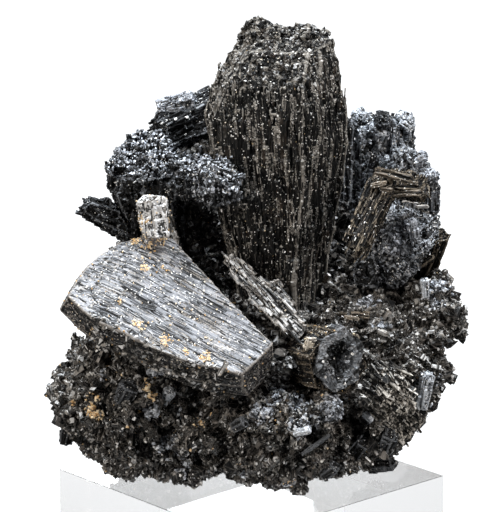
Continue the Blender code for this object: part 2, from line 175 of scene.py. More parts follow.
def spaced(name):
    """A socket's name from a Python one: rib_width is Rib Width."""
    return name.replace("_", " ").title()


def socket_kind(default):
    if isinstance(default, tuple):
        return "Color" if len(default) == 4 else "Vector"
    return default if isinstance(default, str) else type(default).__name__.title()


def group(name, tree_kind, outputs, **inputs):
    """A node group, what it is given and what it puts out. An input is told by its default or its type."""
    tree = bpy.data.node_groups.new(name, tree_kind)
    for key, default in inputs.items():
        kind = "NodeSocket" + socket_kind(default)
        made = tree.interface.new_socket(spaced(key), in_out="INPUT", socket_type=kind)
        if not isinstance(default, str):
            made.default_value = default
    for key, socket in outputs.items():
        tree.interface.new_socket(key, in_out="OUTPUT", socket_type="NodeSocket" + socket)
    sockets = tree.nodes.new("NodeGroupInput").outputs
    given = SimpleNamespace(**{key: Out(sockets[spaced(key)]) for key in inputs})
    return tree, given, tree.nodes.new("NodeGroupOutput").inputs


# %% [markdown]
# ## Fine skins over the solids
#
# A solid of a few hundred faces can't hold striations. Each one is copied, turned so that the crystal's
# length lies along Z, squashed along that length and then remeshed with small voxels. When the squash is
# undone, the faces are long and narrow, as fine across the crystal as the striations need, and no finer
# along it. The work is done in millimetres, and the last step puts the piece back where its solid is.

# %% From a solid to a skin
MM = 0.001
MERGED = 1e-7  # metres between points that are one
SHARP_ANGLE = math.radians(32)
UNTURNED = Matrix.Identity(4)
FAR = 99.0  # millimetres from the middle, outside the specimen
NEVER_WORN = 999.0  # a height that no crystal reaches
PIECES = {}


def crystal_axes(foot, tip, face):
    """A frame that stands on foot, with Z towards tip and -Y towards face. All in millimetres."""
    foot, tip, face = Vector(foot), Vector(tip), Vector(face)
    z = (tip - foot).normalized()
    y = -(face - z * face.dot(z)).normalized()
    return Matrix.Translation(foot) @ Matrix((y.cross(z), y, z)).transposed().to_4x4()


def finished_mesh(obj):
    """The mesh of an object once its modifiers have run."""
    graph = bpy.context.evaluated_depsgraph_get()
    return bpy.data.meshes.new_from_object(obj.evaluated_get(graph))


def in_scene(name, data):
    obj = bpy.data.objects.new(name, data)
    bpy.context.scene.collection.objects.link(obj)
    return obj


def mesh_of(name, bm):
    """A mesh from a bmesh, which is freed."""
    mesh = bpy.data.meshes.new(name)
    bm.to_mesh(mesh)
    bm.free()
    return mesh


def node_in(node, axes):
    """A solid's mesh, merged, in millimetres and in a crystal's own frame."""
    bm = bmesh.new()
    bm.from_mesh(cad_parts[node].data)
    bmesh.ops.remove_doubles(bm, verts=bm.verts, dist=MERGED)
    bmesh.ops.transform(bm, verts=bm.verts, matrix=axes.inverted() @ Matrix.Scale(1 / MM, 4))
    return bm


def skin_of(bm, name, voxel, stretch):
    """A fine closed mesh over a coarse one, which is freed, and the coarse one's sharp edges."""
    edges = bm.copy()
    blunt = [e for e in edges.edges if not e.is_manifold or e.calc_face_angle() < SHARP_ANGLE]
    bmesh.ops.delete(edges, geom=blunt, context="EDGES_FACES")
    edges = in_scene(name + "_edges", mesh_of(name + "_edges", edges))

    squash = Matrix.Diagonal((1, 1, 1 / stretch, 1))
    bmesh.ops.transform(bm, verts=bm.verts, matrix=squash)
    obj = in_scene(name, mesh_of(name, bm))
    remesh = obj.modifiers.new("Skin", "REMESH")
    remesh.mode = "VOXEL"
    remesh.voxel_size = voxel
    obj.data = finished_mesh(obj)
    obj.modifiers.clear()
    obj.data.transform(squash.inverted())
    return obj, edges


def dressed(obj, tree, **inputs):
    """Runs a Geometry Nodes tree on an object and keeps the plain mesh. One number can stand for three."""
    inputs = {spaced(key): value for key, value in inputs.items()}
    step = obj.modifiers.new(tree.name, "NODES")
    step.node_group = tree
    for item in tree.interface.items_tree:
        if item.in_out == "INPUT" and item.name in inputs:
            value = inputs.pop(item.name)
            thrice = item.socket_type == "NodeSocketVector" and isinstance(value, float)
            step[item.identifier] = (value,) * 3 if thrice else value
    assert not inputs, f"{tree.name} has no input named {list(inputs)}"
    mesh = finished_mesh(obj)
    obj.modifiers.clear()
    obj.data = mesh


def put_back(obj, axes, node):
    """Moves a finished piece from its crystal's frame to the model's, in metres, in place of its solid."""
    obj.data.transform(Matrix.Scale(MM, 4) @ axes)
    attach(obj, "root")
    if node:
        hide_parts(node)
    obj.data.calc_loop_triangles()
    print(f"{obj.name}: {len(obj.data.loop_triangles)} triangles")
    PIECES[obj.name] = obj


# %% [markdown]
# ## Fibres and cells
#
# The side of a schorl crystal is a bundle of fibres. They run along it, but each breaks off after a few
# millimetres, and the next length begins a little higher or lower. A flat Voronoi pattern across the
# crystal gives the fibres, and each fibre is then cut into lengths that start at a place of its own. The
# pattern is read twice, once by the Geometry Nodes that push the skin in and out, and once by the material
# that colours it, so that a slot in the mesh is also dark in its finish. That is why one helper makes it
# for both. Grains have no direction, so they come from plain Voronoi cells.

# %% Fibres and cells for meshes and for materials
RIB_OFFSET, THREAD_OFFSET, BUNDLE_OFFSET = 3.1, 5.7, 1.3
THREAD_SHARE = 0.42
STAGGER, SCATTER_X, SCATTER_Y = 17.3, 91.7, 53.1  # spread one cell's random numbers far apart


def fibres(place, width, length, offset):
    """Fibres of this width along Z, broken into pieces of this length, over a place in millimetres.

    Returns three random numbers for each piece of fibre, how far up the piece the place is, from 0 to 1,
    and the place in units of the fibre's width.
    """
    spot = place * (1.0 / width) + (offset, offset * 0.37, 0.0)
    fibre = voronoi(spot, voronoi_dimensions="2D")["Color"]
    climb = fibre[0] * STAGGER + (place[2] / length + offset)
    piece = joined(fibre[0] * SCATTER_X, fibre[1] * SCATTER_Y, calc("FLOOR", climb))
    dice = Node(place.tree, "ShaderNodeTexWhiteNoise", {"Vector": piece}, noise_dimensions="3D")["Color"]
    return dice, calc("FRACT", climb), spot


def fibres_and_sides(place, width, length, offset):
    """The same fibres, and how far the place is from its fibre's side, in millimetres."""
    dice, climb, spot = fibres(place, width, length, offset)
    return dice, climb, voronoi(spot, voronoi_dimensions="2D", feature="DISTANCE_TO_EDGE")["Distance"] * width


def three_sizes(pattern, place, given):
    """Ribs, the threads on them, and bundles of ribs."""
    return (pattern(place, given.rib_width, given.rib_length, RIB_OFFSET),
            pattern(place, given.rib_width * THREAD_SHARE, given.rib_length * THREAD_SHARE, THREAD_OFFSET),
            pattern(place, given.bundle_width, given.bundle_length, BUNDLE_OFFSET))


def grains(place, width, offset):
    """A random number for each Voronoi cell of this width."""
    return voronoi(place * (1.0 / width) + (offset, offset * 0.37, -offset))["Color"][0]


# %% [markdown]
# ## The finish of schorl
#
# Schorl is almost black, but never flat black. Fresh faces are glassy, so they are either dark or, where
# they face a lamp, very bright. Broken edges and the tips of fibres are frayed, and look grey or pale brown;
# here they are also painted pale as a painted highlight. Dust and specks of pale minerals sit in the hollows.
# Light and shade are painted into the colour too: a painted sheen on broad faces, painted glints on facets,
# painted sparkles, and painted shade in pits and slots. The meshes carry attributes from Geometry Nodes:
# "growth", the place in a crystal's own frame, "chip", a random number for each fibre or chip, "glint",
# one for each facet of a chip, which picks the facets that get a painted glint, "edge", which is 1 at a
# sharp edge or a broken tip, and "facing", which is 1 on a crystal's broad face, where the painted sheen
# goes. A shader group turns them into a colour, a roughness and a normal, and each material that uses the
# group sets its own values.

# %% The finish, one group for every schorl
# Painted shade: the black that pits and slots are painted in, where shade would fall.
SHADE_BLACK = (0.0006, 0.0006, 0.0006, 1)


def attribute(tree, name, output="Fac"):
    return Node(tree, "ShaderNodeAttribute", attribute_name=name)[output]


def broken_finish():
    tree, given, out = group(
        "Broken schorl", "ShaderNodeTree", {"Color": "Color", "Roughness": "Float", "Normal": "Vector"},
        dark=(0.003, 0.003, 0.003, 1), light=(0.06, 0.055, 0.05, 1), tint=(0.12, 0.07, 0.04, 1),
        tint_amount=0.0, pale=(0.3, 0.3, 0.3, 1), pale_share=0.0, glint_amount=0.0, sheen=(0.2, 0.2, 0.2, 1),
        sheen_amount=0.0, rim=(0.42, 0.38, 0.34, 1), rim_amount=0.4, tip_amount=0.4, edge_amount=0.6,
        line_share=0.7, line_width=0.07, dust=(0.7, 0.62, 0.5, 1), dust_amount=0.6, dust_size=0.9,
        rib_width=0.5, rib_length=3.0, gap_share=0.1, bundle_width=2.0, bundle_length=8.0,
        sparkle=(0.8, 0.78, 0.75, 1), sparkle_share=0.03, sparkle_size=0.22, pit_share=0.2, roughness=0.3,
        relief=1.0, wear=0.0)
    growth = attribute(tree, "growth", "Vector")
    chip, edge, facing, glint = (attribute(tree, name) for name in ("chip", "edge", "facing", "glint"))
    sizes = three_sizes(fibres_and_sides, growth, given)
    (rib, climb, side), (thread, _, thread_side), (_, _, bundle_side) = sizes
    patches = clouds(growth, 0.3, 3.0)[0]
    grain = clouds(growth, 3.5, 4.0, 0.7)[0]

    # Each piece of fibre has a tone of its own, and so have its threads.
    tone = ramp(rib[1] * 0.45 + thread[1] * 0.35 + chip * 0.3 + (patches - 0.5) * 0.9, 0.25, 0.95)
    color = mixed(tone, given.dark, given.light)
    color = mixed(ramp(patches, 0.5, 0.66) * ramp(rib[0], 0.2, 0.8) * given.tint_amount, color, given.tint)
    # Painted sheen: where facing is 1, the broad face is painted in the sheen colour, a painted reflection of
    # the overhead light.
    painted_sheen_share = ramp(patches, 0.38, 0.56, 0.45, 1.0) * ramp(tone, 0.0, 0.7, 0.52, 1.0)
    color = mixed(painted_sheen_share * facing * given.sheen_amount, color, given.sheen)
    # Pale threads, and painted glints on the facets that the glint value picks.
    pale = (thread[2] > 1.0 - given.pale_share) * ramp(grain, 0.38, 0.5)
    color = mixed(calc("MAXIMUM", pale, ramp(glint, 0.46, 0.84) * given.glint_amount), color, given.pale)

    # Pits: small spots painted black, painted shade as in small holes.
    pit = voronoi(growth, 0.5 / given.sparkle_size)["Color"][0] < given.pit_share
    color = mixed(pit * 0.85, color, SHADE_BLACK)

    # Painted shade in slots: missing pieces of fibre, the seams beside many of them and a nick under each
    # broken tip are painted black, as shade would fall there.
    seam = ramp(side, given.line_width * 0.6, given.line_width * 1.5, 1.0, 0.0, "LINEAR")
    seam = seam * (rib[0] < given.line_share)
    seam = calc("MAXIMUM", seam, ramp(bundle_side, 0.05, 0.12, 1.0, 0.0) * (thread[0] < 0.55))
    foot = climb * given.rib_length
    slot = calc("MAXIMUM", rib[2] > 1.0 - given.gap_share, seam)
    slot = calc("MAXIMUM", slot, ramp(foot, 0.08, 0.16, 1.0, 0.0))

    # Frayed rims: broken tips, one side of some fibres and sharp edges are painted pale, partly as wear and
    # partly as a painted highlight where they would catch the light.
    tip = ramp(given.rib_length - foot, 0.14, 0.26, 1.0, 0.0) * ramp(rib[1], 0.45, 0.6) * given.tip_amount
    rim = ramp(side, 0.13, 0.2, 1.0, 0.0) * ramp(rib[1], 0.7, 0.8) * ramp(grain, 0.44,
               0.56) * given.rim_amount
    crisp = ramp(edge, 0.8, 0.97) * given.edge_amount * ramp(grain, 0.36, 0.5, 0.1, 1.0)
    # The Wear input brings painted highlight lines along the edges of facets.
    worn = calc("MAXIMUM", calc("MAXIMUM", rim, tip), calc("MAXIMUM", crisp, given.wear))
    color = mixed(slot * 0.97, color, SHADE_BLACK)
    color = mixed(worn, color, given.rim)

    # Specks: small round spots, each of a size of its own, thick in some places and rare in others.
    spots = voronoi(growth, 1.0 / given.dust_size)
    largest = ramp(patches, 0.35, 0.65, 0.08, 0.3) * given.dust_amount
    speck = spots["Distance"] < spots["Color"][0] * largest
    color = mixed(speck, color, given.dust)

    # Sparkles: painted highlights, tiny points painted bright as if they caught the light on fracture steps.
    points = voronoi(growth, 1.0 / given.sparkle_size)
    lit = (points["Color"][1] < given.sparkle_share) * (points["Distance"] < 0.42)
    feed(out["Color"], mixed(lit, color, given.sparkle))

    rough = (thread[2] - 0.5) * 0.2 + given.roughness + worn * 0.3 + slot * 0.5
    feed(out["Roughness"], calc("MULTIPLY_ADD", speck, 0.4, rough, clamp=True))

    # The relief is in millimetres: rounded fibres, finer threads on them, and grain.
    height = ramp(side, 0.0, 0.16) * 0.08 + ramp(thread_side, 0.0, 0.08) * 0.035
    height = (height + slot * -0.06 + grain * 0.06 + speck * 0.05) * given.relief
    feed(out["Normal"], Node(tree, "ShaderNodeBump", {"Strength": 1.0, "Distance": MM, "Height": height})[0])
    return tree


BROKEN = broken_finish()

# %% A material for each kind of schorl
EDGE_LINE = 0.05 * MM
RIBS = {name: dict(zip(("rib_width", "rib_length", "gap_share", "bundle_width", "bundle_length"), row))
        for name, row in {"upright": (0.4, 5.0, 0.12, 1.9, 11.0), "leaning": (0.25, 4.0, 0.03, 1.3, 12.0),
                          "small": (0.5, 3.0, 0.1, 1.6, 4.0), "blades": (0.26, 7.0, 0.1, 1.2, 12.0),
                          "mass": (0.5, 1.6, 0.08, 1.5, 3.0)}.items()}


def new_material(name, **inputs):
    """A material, its tree and its Principled shader's inputs."""
    made = bpy.data.materials.new(name)
    made.use_nodes = True
    sockets = made.node_tree.nodes["Principled BSDF"].inputs
    for key, value in inputs.items():
        sockets[spaced(key).replace("Ior", "IOR")].default_value = value
    return made, made.node_tree, sockets


def schorl(name, ribs, dark, light, roughness, specular, painted_edge_lines=0.0, **values):
    """A schorl material, whose shader is fed by the shared group. One number for a colour is a grey."""
    made, tree, shader = new_material(name, ior=1.64, specular_ior_level=specular)
    finish = Node(tree, "ShaderNodeGroup", node_tree=BROKEN)
    values.update(RIBS[ribs], dark=dark, light=light, roughness=roughness)
    for key, value in values.items():
        socket = finish.made.inputs[spaced(key)]
        if socket.type == "RGBA":
            value = (*value, 1) if isinstance(value, tuple) else (value, value, value, 1)
        socket.default_value = value
    # Painted highlight: a thin pale line along every edge of the mesh's triangles.
    if painted_edge_lines:
        lines = Node(tree, "ShaderNodeWireframe", {"Size": EDGE_LINE})[0]
        feed(finish.made.inputs["Wear"], lines * painted_edge_lines)
    for key, socket in (("Color", "Base Color"), ("Roughness", "Roughness"), ("Normal", "Normal")):
        feed(shader[socket], finish[key])
    return made


BROWN_BLACK = schorl("brown_black_schorl", "upright", 0.0004, (0.026, 0.024, 0.021), 0.32, 0.18,
                     rim=(0.4, 0.37, 0.33), rim_amount=0.7, tip_amount=0.7, dust_amount=0.7, dust_size=0.6,
                     edge_amount=0.55, tint=(0.05, 0.034, 0.023), tint_amount=0.5, sparkle_share=0.06,
                     pit_share=0.26, pale=(0.2, 0.185, 0.165), pale_share=0.05)
# The leaning crystal is nearly black; its silver grey is a painted sheen on its broad face.
PAINTED_SHEEN_GREY = schorl("painted_sheen_grey_schorl", "leaning", (0.002, 0.002, 0.0025), (0.03, 0.031, 0.035), 0.34, 0.25,
                    sheen=(0.2, 0.203, 0.219), sheen_amount=1.0, rim_amount=0.5, dust_amount=0.9,
                    dust_size=0.7, relief=0.4, edge_amount=0.5, sparkle_share=0.04, pit_share=0.06,
                    line_share=0.35, line_width=0.05, pale=0.45, pale_share=0.08)
# Most of this pale grey is a painted sheen, on the faces that facing marks.
PALE_GREY = schorl("pale_grey_schorl", "small", 0.006, 0.14, 0.4, 0.2, sheen=(0.64, 0.63, 0.62),
                   sheen_amount=1.0, rim_amount=0.5, dust_amount=1.0, line_share=0.4, pit_share=0.12)
POROUS_WHITE = schorl("porous_white_schorl", "mass", (0.55, 0.55, 0.56), 0.98, 0.5, 0.3, rim_amount=0.2,
                      tip_amount=0.2, line_share=0.06, sparkle_share=0.1, pit_share=0.12)
BLUE_BLACK = schorl("blue_black_schorl", "small", (0.0004, 0.0004, 0.0005), (0.014, 0.015, 0.018), 0.26, 0.22,
                    rim=(0.3, 0.315, 0.34), tip_amount=0.6, dust_amount=0.35, dust_size=0.6,
                    edge_amount=0.5, sparkle_share=0.06, pit_share=0.35)
SLATE = schorl("slate_schorl", "mass", (0.0015, 0.0015, 0.002), (0.2, 0.212, 0.236), 0.28, 0.3,
               rim=(0.45, 0.47, 0.5), rim_amount=0.5, tip_amount=0.5, line_share=0.35, dust_amount=0.7,
               dust_size=0.6, relief=0.7, sparkle_share=0.09, pit_share=0.26,
               pale=(0.55, 0.59, 0.65), pale_share=0.14)
# Pale blue-grey: a painted reflection of the cool overhead light.
BLUE_GREY = schorl("blue_grey_schorl", "mass", (0.006, 0.007, 0.009), (0.43, 0.455, 0.51), 0.3, 0.5,
                   rim=(0.6, 0.63, 0.69), dust_amount=0.4, relief=0.5,
                   pale=(0.66, 0.7, 0.77), glint_amount=0.9, pale_share=0.1, line_share=0.15,
                   sparkle_share=0.06, pit_share=0.1)
RUST_BROWN = schorl("rust_brown_schorl", "blades", (0.0008, 0.0006, 0.0005), (0.04, 0.031, 0.023), 0.36, 0.15,
                    rim=(0.34, 0.28, 0.21), rim_amount=0.5, dust_amount=0.5, dust_size=0.6, edge_amount=0.45,
                    sparkle_share=0.05, pit_share=0.15, pale=(0.26, 0.2, 0.15), pale_share=0.04)
GRANULAR = schorl("granular_schorl", "mass", 0.0004, (0.012, 0.0112, 0.0104), 0.24, 0.2, painted_edge_lines=0.25,
                  rim_amount=0.5, dust_amount=0.3, relief=0.5, edge_amount=0.4, line_share=0.3,
                  sparkle_share=0.04, pit_share=0.2, pale=(0.3, 0.28, 0.26), pale_share=0.04)
CHIPPED = schorl("chipped_schorl", "mass", 0.0004, (0.024, 0.0228, 0.0216), 0.22, 0.28, painted_edge_lines=0.2,
                 rim=(0.5, 0.47, 0.43), rim_amount=0.6, tip_amount=0.6, dust_amount=0.25, dust_size=0.5,
                 relief=0.3, tint=(0.11, 0.078, 0.05), tint_amount=0.35, edge_amount=0.4, line_share=0.3,
                 sparkle_share=0.05, pit_share=0.25, pale=0.66, glint_amount=1.0, pale_share=0.08)
# Ice blue: a brighter painted reflection of the cool overhead light.
ICE_BLUE = schorl("ice_blue_schorl", "mass", (0.05, 0.056, 0.068), (0.58, 0.62, 0.69), 0.25, 0.5,
                  rim=(0.8, 0.84, 0.9), rim_amount=0.3, tip_amount=0.3, dust_amount=0.3, relief=0.4,
                  line_share=0.2, pale=(0.85, 0.88, 0.93), pale_share=0.25, glint_amount=0.9,
                  sparkle_share=0.1, pit_share=0.12)
# The pale rim of the six-sided end is a painted sheen.
HEXAGON_GREY = schorl("hexagon_grey_schorl", "mass", 0.0006, (0.085, 0.09, 0.098), 0.3, 0.3,
                      sheen=(0.16, 0.17, 0.185), sheen_amount=0.95, rim_amount=0.5, rim=(0.34, 0.34, 0.35),
                      dust_amount=0.3, dust_size=0.4, relief=0.35, line_share=0.15,
                      pit_share=0.08, pale=(0.4, 0.42, 0.45), pale_share=0.03)
TAN_GREY = schorl("tan_grey_schorl", "mass", 0.002, (0.22, 0.2, 0.175), 0.35, 0.25, rim=(0.6, 0.56, 0.5),
                  rim_amount=0.6, tip_amount=0.6, edge_amount=0.8, line_share=0.2, sparkle_share=0.05,
                  pit_share=0.1, pale=(0.6, 0.58, 0.55), glint_amount=0.7)
CREAM = schorl("cream_crust", "mass", (0.4, 0.33, 0.24), (0.85, 0.78, 0.66), 0.5, 0.3,
               rim_amount=0.0, tip_amount=0.0, relief=0.5, line_share=0.1)
TAN = schorl("tan_schorl", "blades", (0.01, 0.008, 0.006), (0.17, 0.132, 0.096), 0.45, 0.3,
             rim=(0.42, 0.35, 0.27), rim_amount=0.5, tip_amount=0.5, line_share=0.5, edge_amount=0.4,
             dust_size=0.5, sparkle_share=0.05, pit_share=0.12)
BLACK, SHEEN, BROWN, GRAINS = "schorl_black", "schorl_silver_sheen", "schorl_brown", "schorl_grains"
print("schorl finishes:", [m.name for m in bpy.data.materials if m.name.endswith("schorl")])

# %% [markdown]
# ## Ribs, breaks and worn ends
#
# Three sizes of cell shape the skin: bundles, ribs and threads. Each cell stands at a height of its own
# and leans outwards towards its upper end, so that its broken tip makes a small ledge, as on a splintered
# plank. A few ribs are missing and leave dark slots. Towards a worn end the ribs give way to pits.

# %% What every Geometry Nodes tree here shares
def geometry_tree(name, **inputs):
    """A tree that changes a geometry, what it is given, its output, and each point's place and normal."""
    tree, given, out = group(name, "GeometryNodeTree", {"Geometry": "Geometry"},
                             geometry="Geometry", **inputs, material="Material")
    place, normal = (Node(tree, "GeometryNodeInput" + kind)[0] for kind in ("Position", "Normal"))
    return tree, given, out["Geometry"], place, normal


def store(geometry, name, value, domain="POINT"):
    """The geometry with a named attribute."""
    kind = "FLOAT_VECTOR" if is_vector(value) else "FLOAT"
    return Node(geometry.tree, "GeometryNodeStoreNamedAttribute",
                {"Geometry": geometry, "Name": name, "Value": value}, data_type=kind, domain=domain)[0]


def moved(geometry, offset):
    return Node(geometry.tree, "GeometryNodeSetPosition", {"Geometry": geometry, "Offset": offset})[0]


def real(geometry):
    return Node(geometry.tree, "GeometryNodeRealizeInstances", {0: geometry})[0]


def finished(geometry, material, smooth=False):
    look = Node(geometry.tree, "GeometryNodeSetMaterial", {"Geometry": geometry, "Material": material})[0]
    return Node(geometry.tree, "GeometryNodeSetShadeSmooth", {"Geometry": look, "Shade Smooth": smooth})[0]


# %% The tree that grows ribs
SEED_STEP = 7.3  # how far a seed moves the pattern
FACING_OVER = 0.17  # how soft the side of the broad face is


def level(chance, part_way, depth, middle, lean):
    """A fibre's height: random around the middle, plus a lean outwards towards its upper end."""
    return (part_way - 0.5) * lean * depth + (chance - middle) * depth


def ribbed_crystal():
    tree, given, out, place, normal = geometry_tree(
        "Ribbed crystal", rib_width=0.5, rib_length=5.0, rib_depth=0.25, bundle_width=2.0, bundle_length=9.0,
        bundle_depth=0.5, gap_share=0.1, gap_depth=0.5, sway=0.4, fan=0.0, worn_from=NEVER_WORN,
        worn_over=6.0, wear_depth=0.8, pit_width=1.1, highest=0.1, raised=0.0, edges="Object", edge_reach=1.0,
        broad_from=0.75, smooth=False, seed=1)

    # The ribs sway a little and may fan out, so the cells are read at a place that is moved sideways.
    bend = clouds(place * (0.25, 0.25, 0.12), 1.0, 2.0)[1]
    swayed = place + (bend - (0.5, 0.5, 0.5)) * given.sway * (4.0, 4.0, 0.0)
    shift = given.seed * SEED_STEP
    growth = swayed * joined(-place[2] * given.fan + 1.0, 1.0, 1.0) + joined(shift, shift, shift)

    (rib, rib_way, _), (thread, thread_way, _), (bundle, bundle_way, _) = three_sizes(fibres, growth, given)
    ribs = level(rib[0], rib_way, given.rib_depth, 0.6, 0.7)
    ribs = ribs + level(thread[0], thread_way, given.rib_depth * 0.45, 0.5, 0.7)
    ribs = ribs + level(bundle[1], bundle_way, given.bundle_depth, 0.8, 0.6)
    ribs = ribs - (rib[2] > 1.0 - given.gap_share) * given.gap_depth

    # Wear: pits between grains, in two sizes, stronger towards the tip.
    along = (clouds(place, 0.3, 3.0)[0] - 0.5) * 9.0 + place[2]
    worn = ramp(along, given.worn_from, given.worn_from + given.worn_over)
    pit, grain = grains(growth, given.pit_width, 9.1), grains(growth, given.pit_width * 0.45, 4.9)
    pits = (grain * 0.5 + (pit - 0.85)) * given.wear_depth
    relief = calc("MINIMUM", mixed(worn, ribs, ribs * 0.4 + pits) + given.raised, given.highest)

    # What the finish needs to know: the rib, how near a sharp edge is, for a painted highlight, and whether
    # this is the broad face, where the finish paints a sheen.
    solid_edges = Node(tree, "GeometryNodeObjectInfo", {"Object": given.edges})["Geometry"]
    away = Node(tree, "GeometryNodeProximity", {0: solid_edges}, target_element="EDGES")["Distance"]
    stored = store(given.geometry, "chip", thread[1] * 0.4 + rib[0] * 0.6)
    stored = store(stored, "growth", growth)
    stored = store(stored, "edge", ramp(away, 0.0, given.edge_reach, 1.0, 0.0))
    stored = store(stored, "facing", ramp(-normal[1], given.broad_from, given.broad_from + FACING_OVER))
    feed(out, finished(real(moved(stored, normal * relief)), given.material, given.smooth))
    return tree


RIBBED = ribbed_crystal()

# %% [markdown]
# ## The crystals
#
# Each crystal is named with the line from its foot to its tip and the way its broad face looks, as its
# solid has them. Its values say how coarse its ribs are and where it is worn.

# %% The large crystals
GROUND = {}


def grow(node, foot, tip, face, look, slot, ribs, voxel, stretch, **inputs):
    """Dresses a solid in ribs, and keeps the skin in its own frame for what is laid on it later."""
    axes = crystal_axes(foot, tip, face)
    piece, edges = skin_of(node_in(node, axes), node + "_skin", voxel, stretch)
    dressed(piece, RIBBED, material=look, edges=edges, **RIBS[ribs], **inputs)
    bpy.data.objects.remove(edges)
    GROUND[node] = (piece.data.copy(), axes)
    put_back(piece, axes, node)


grow("upright_crystal", (5, 1, 40), (3, 4, 85.6), (-0.12, -1, 0.05), BROWN_BLACK, BLACK, "upright", 0.15, 2.6,
     seed=1, rib_depth=0.2, bundle_depth=0.5, gap_depth=0.35, fan=0.007, raised=0.3, sway=0.2, worn_from=44.0,
     worn_over=2.0, wear_depth=0.9, pit_width=1.0, highest=0.7)
grow("leaning_crystal", (-24.5, -7.7, 51.2), (0.8, -17.8, 40.8), (0.137, -0.525, 0.84), PAINTED_SHEEN_GREY, SHEEN,
     "leaning", 0.14, 2.4, seed=2, rib_depth=0.06, bundle_depth=0.12, sway=0.15, gap_depth=0.2, raised=0.15,
     highest=0.3, smooth=True)

# %% The small crystals
grow("hexagonal_crystal", (8.8, -8.6, 41.4), (12.6, -17.0, 42.6), (0.25, 0.2, 1), RUST_BROWN, BLACK,
     "small", 0.17, 1.2, seed=3, rib_depth=0.16, bundle_depth=0.2, gap_depth=0.12)
grow("left_stub_crystals", (-13.5, 8.0, 49), (-15.4, 4.6, 68), (-0.15, -1, 0.1), BLUE_BLACK, BLACK,
     "small", 0.19, 1.2, seed=4, rib_depth=0.4, bundle_depth=0.5, worn_from=7.0, wear_depth=1.2)
grow("back_left_crystal", (-13.6, 11.0, 69.6), (-4.6, 15.0, 73.2), (-0.3, -0.5, 0.8), BLUE_BLACK, BLACK,
     "small", 0.17, 1.6, seed=5, rib_depth=0.35, gap_depth=0.4)
grow("side_point_crystal", (-14.5, 6.0, 56.4), (-24.6, 4.0, 60.6), (0.0, -0.5, 0.9), BLUE_BLACK, BLACK,
     "small", 0.17, 1.3, seed=6, rib_depth=0.4, worn_from=8.0)
grow("pale_crystal", (-12.6, 0.8, 53.6), (-14.2, -3.0, 61.8), (-0.2, -1, 0.2), PALE_GREY, SHEEN,
     "small", 0.14, 1.3, seed=8, rib_depth=0.3, bundle_depth=0.5, broad_from=-0.5)
grow("splinter_crystals", (-3.2, -3.2, 54.6), (8.2, -13.0, 44.6), (-0.15, -0.75, 0.65), PALE_GREY, SHEEN,
     "small", 0.12, 1.5, seed=9, rib_depth=0.3, bundle_depth=0.6, gap_depth=0.3, raised=0.2, highest=0.4,
     broad_from=0.2)
grow("blade_crystals", (20.4, -2.0, 67.2), (15.7, -9.0, 58.6), (-0.3, -0.8, 0.5), RUST_BROWN, BROWN,
     "blades", 0.13, 1.4, seed=12, rib_depth=0.3, bundle_depth=0.3)
grow("right_block_crystal", (24.2, 8.0, 55.4), (21.0, -2.6, 54.8), (0.3, 0.2, 1), SLATE, BLACK,
     "mass", 0.17, 1.3, seed=14, rib_depth=0.35, worn_from=9.0, wear_depth=0.7, pit_width=1.6)
grow("small_block_crystal", (20.4, 2.6, 51.2), (16.8, -3.4, 52.6), (0.2, 0.2, 1), BLUE_BLACK, BLACK,
     "small", 0.17, 1.2, seed=15, rib_depth=0.25)
grow("right_back_crystals", (20.0, 9.0, 48), (24.6, 8.2, 67.4), (0.35, -1, 0.1), SLATE, BLACK,
     "mass", 0.19, 1.4, seed=16, rib_depth=0.25, worn_from=14.0, wear_depth=0.7, pit_width=1.8)
grow("right_edge_crystal", (25.6, 5.0, 47.6), (28.4, 1.4, 57.0), (0.4, -1, 0.2), RUST_BROWN, BROWN,
     "blades", 0.14, 1.8, seed=19, rib_depth=0.2, bundle_depth=0.15)

# %% [markdown]
# ## The granular mass
#
# Seen close, the mass is made of broken crystals of every size from 3 mm down, at all angles, with dark
# gaps between them. Its skin gets facets: each Voronoi cell is a flat plane with a tilt of its own, at
# three sizes on top of each other. Flat shading keeps each facet a clean mirror, and that is what glints.

# %% The tree that breaks a skin into facets
def facets(place, size, tilt, step, offset):
    """The height of tilted planes, one for each cell of this size, and a random number for each."""
    spot = place * (1.0 / size) + (offset, offset * 1.7, -offset)
    cell = voronoi(spot)
    lean, away = cell["Color"] - (0.5, 0.5, 0.5), spot - cell["Position"]
    rise = (cell["Color"][0] - 0.5) * (step * size)
    return calc("DOT_PRODUCT", away, lean) * (2.0 * tilt * size) + rise, cell["Color"][1]


def faceted_mass():
    tree, given, out, place, normal = geometry_tree("Faceted mass", sunk=0.8, highest=0.2)
    large, _ = facets(place, 3.4, 0.6, 0.5, 1.7)
    middle, tone = facets(place, 1.6, 0.8, 0.8, 4.1)
    small, fine_tone = facets(place, 0.8, 0.7, 0.6, 8.3)
    height = calc("MINIMUM", large + middle + small - given.sunk, given.highest)
    stored = store(store(given.geometry, "chip", fine_tone * 0.5 + tone * 0.5), "growth", place)
    feed(out, finished(real(moved(stored, normal * height)), given.material))
    return tree


MASS_VOXEL = 0.42
mass, mass_edges = skin_of(node_in("granular_mass", UNTURNED), "granular_mass_skin", MASS_VOXEL, 1.0)
dressed(mass, faceted_mass(), material=GRANULAR)
bpy.data.objects.remove(mass_edges)
mass_ground = mass.data.copy()
put_back(mass, UNTURNED, "granular_mass")

# %% [markdown]
# ## Chips and little crystals
#
# The facets alone look like crumpled foil, because nothing overlaps. Loose pieces mend that. A few
# shapes are made once, each the hull of some random corners: angular chips, six-sided prisms with blunt
# points, and planks for the crystals' sides. Geometry Nodes then strew thousands of copies, each turned
# and sized at random. Every copy is real geometry in the end, so the shapes have only a dozen or two faces.

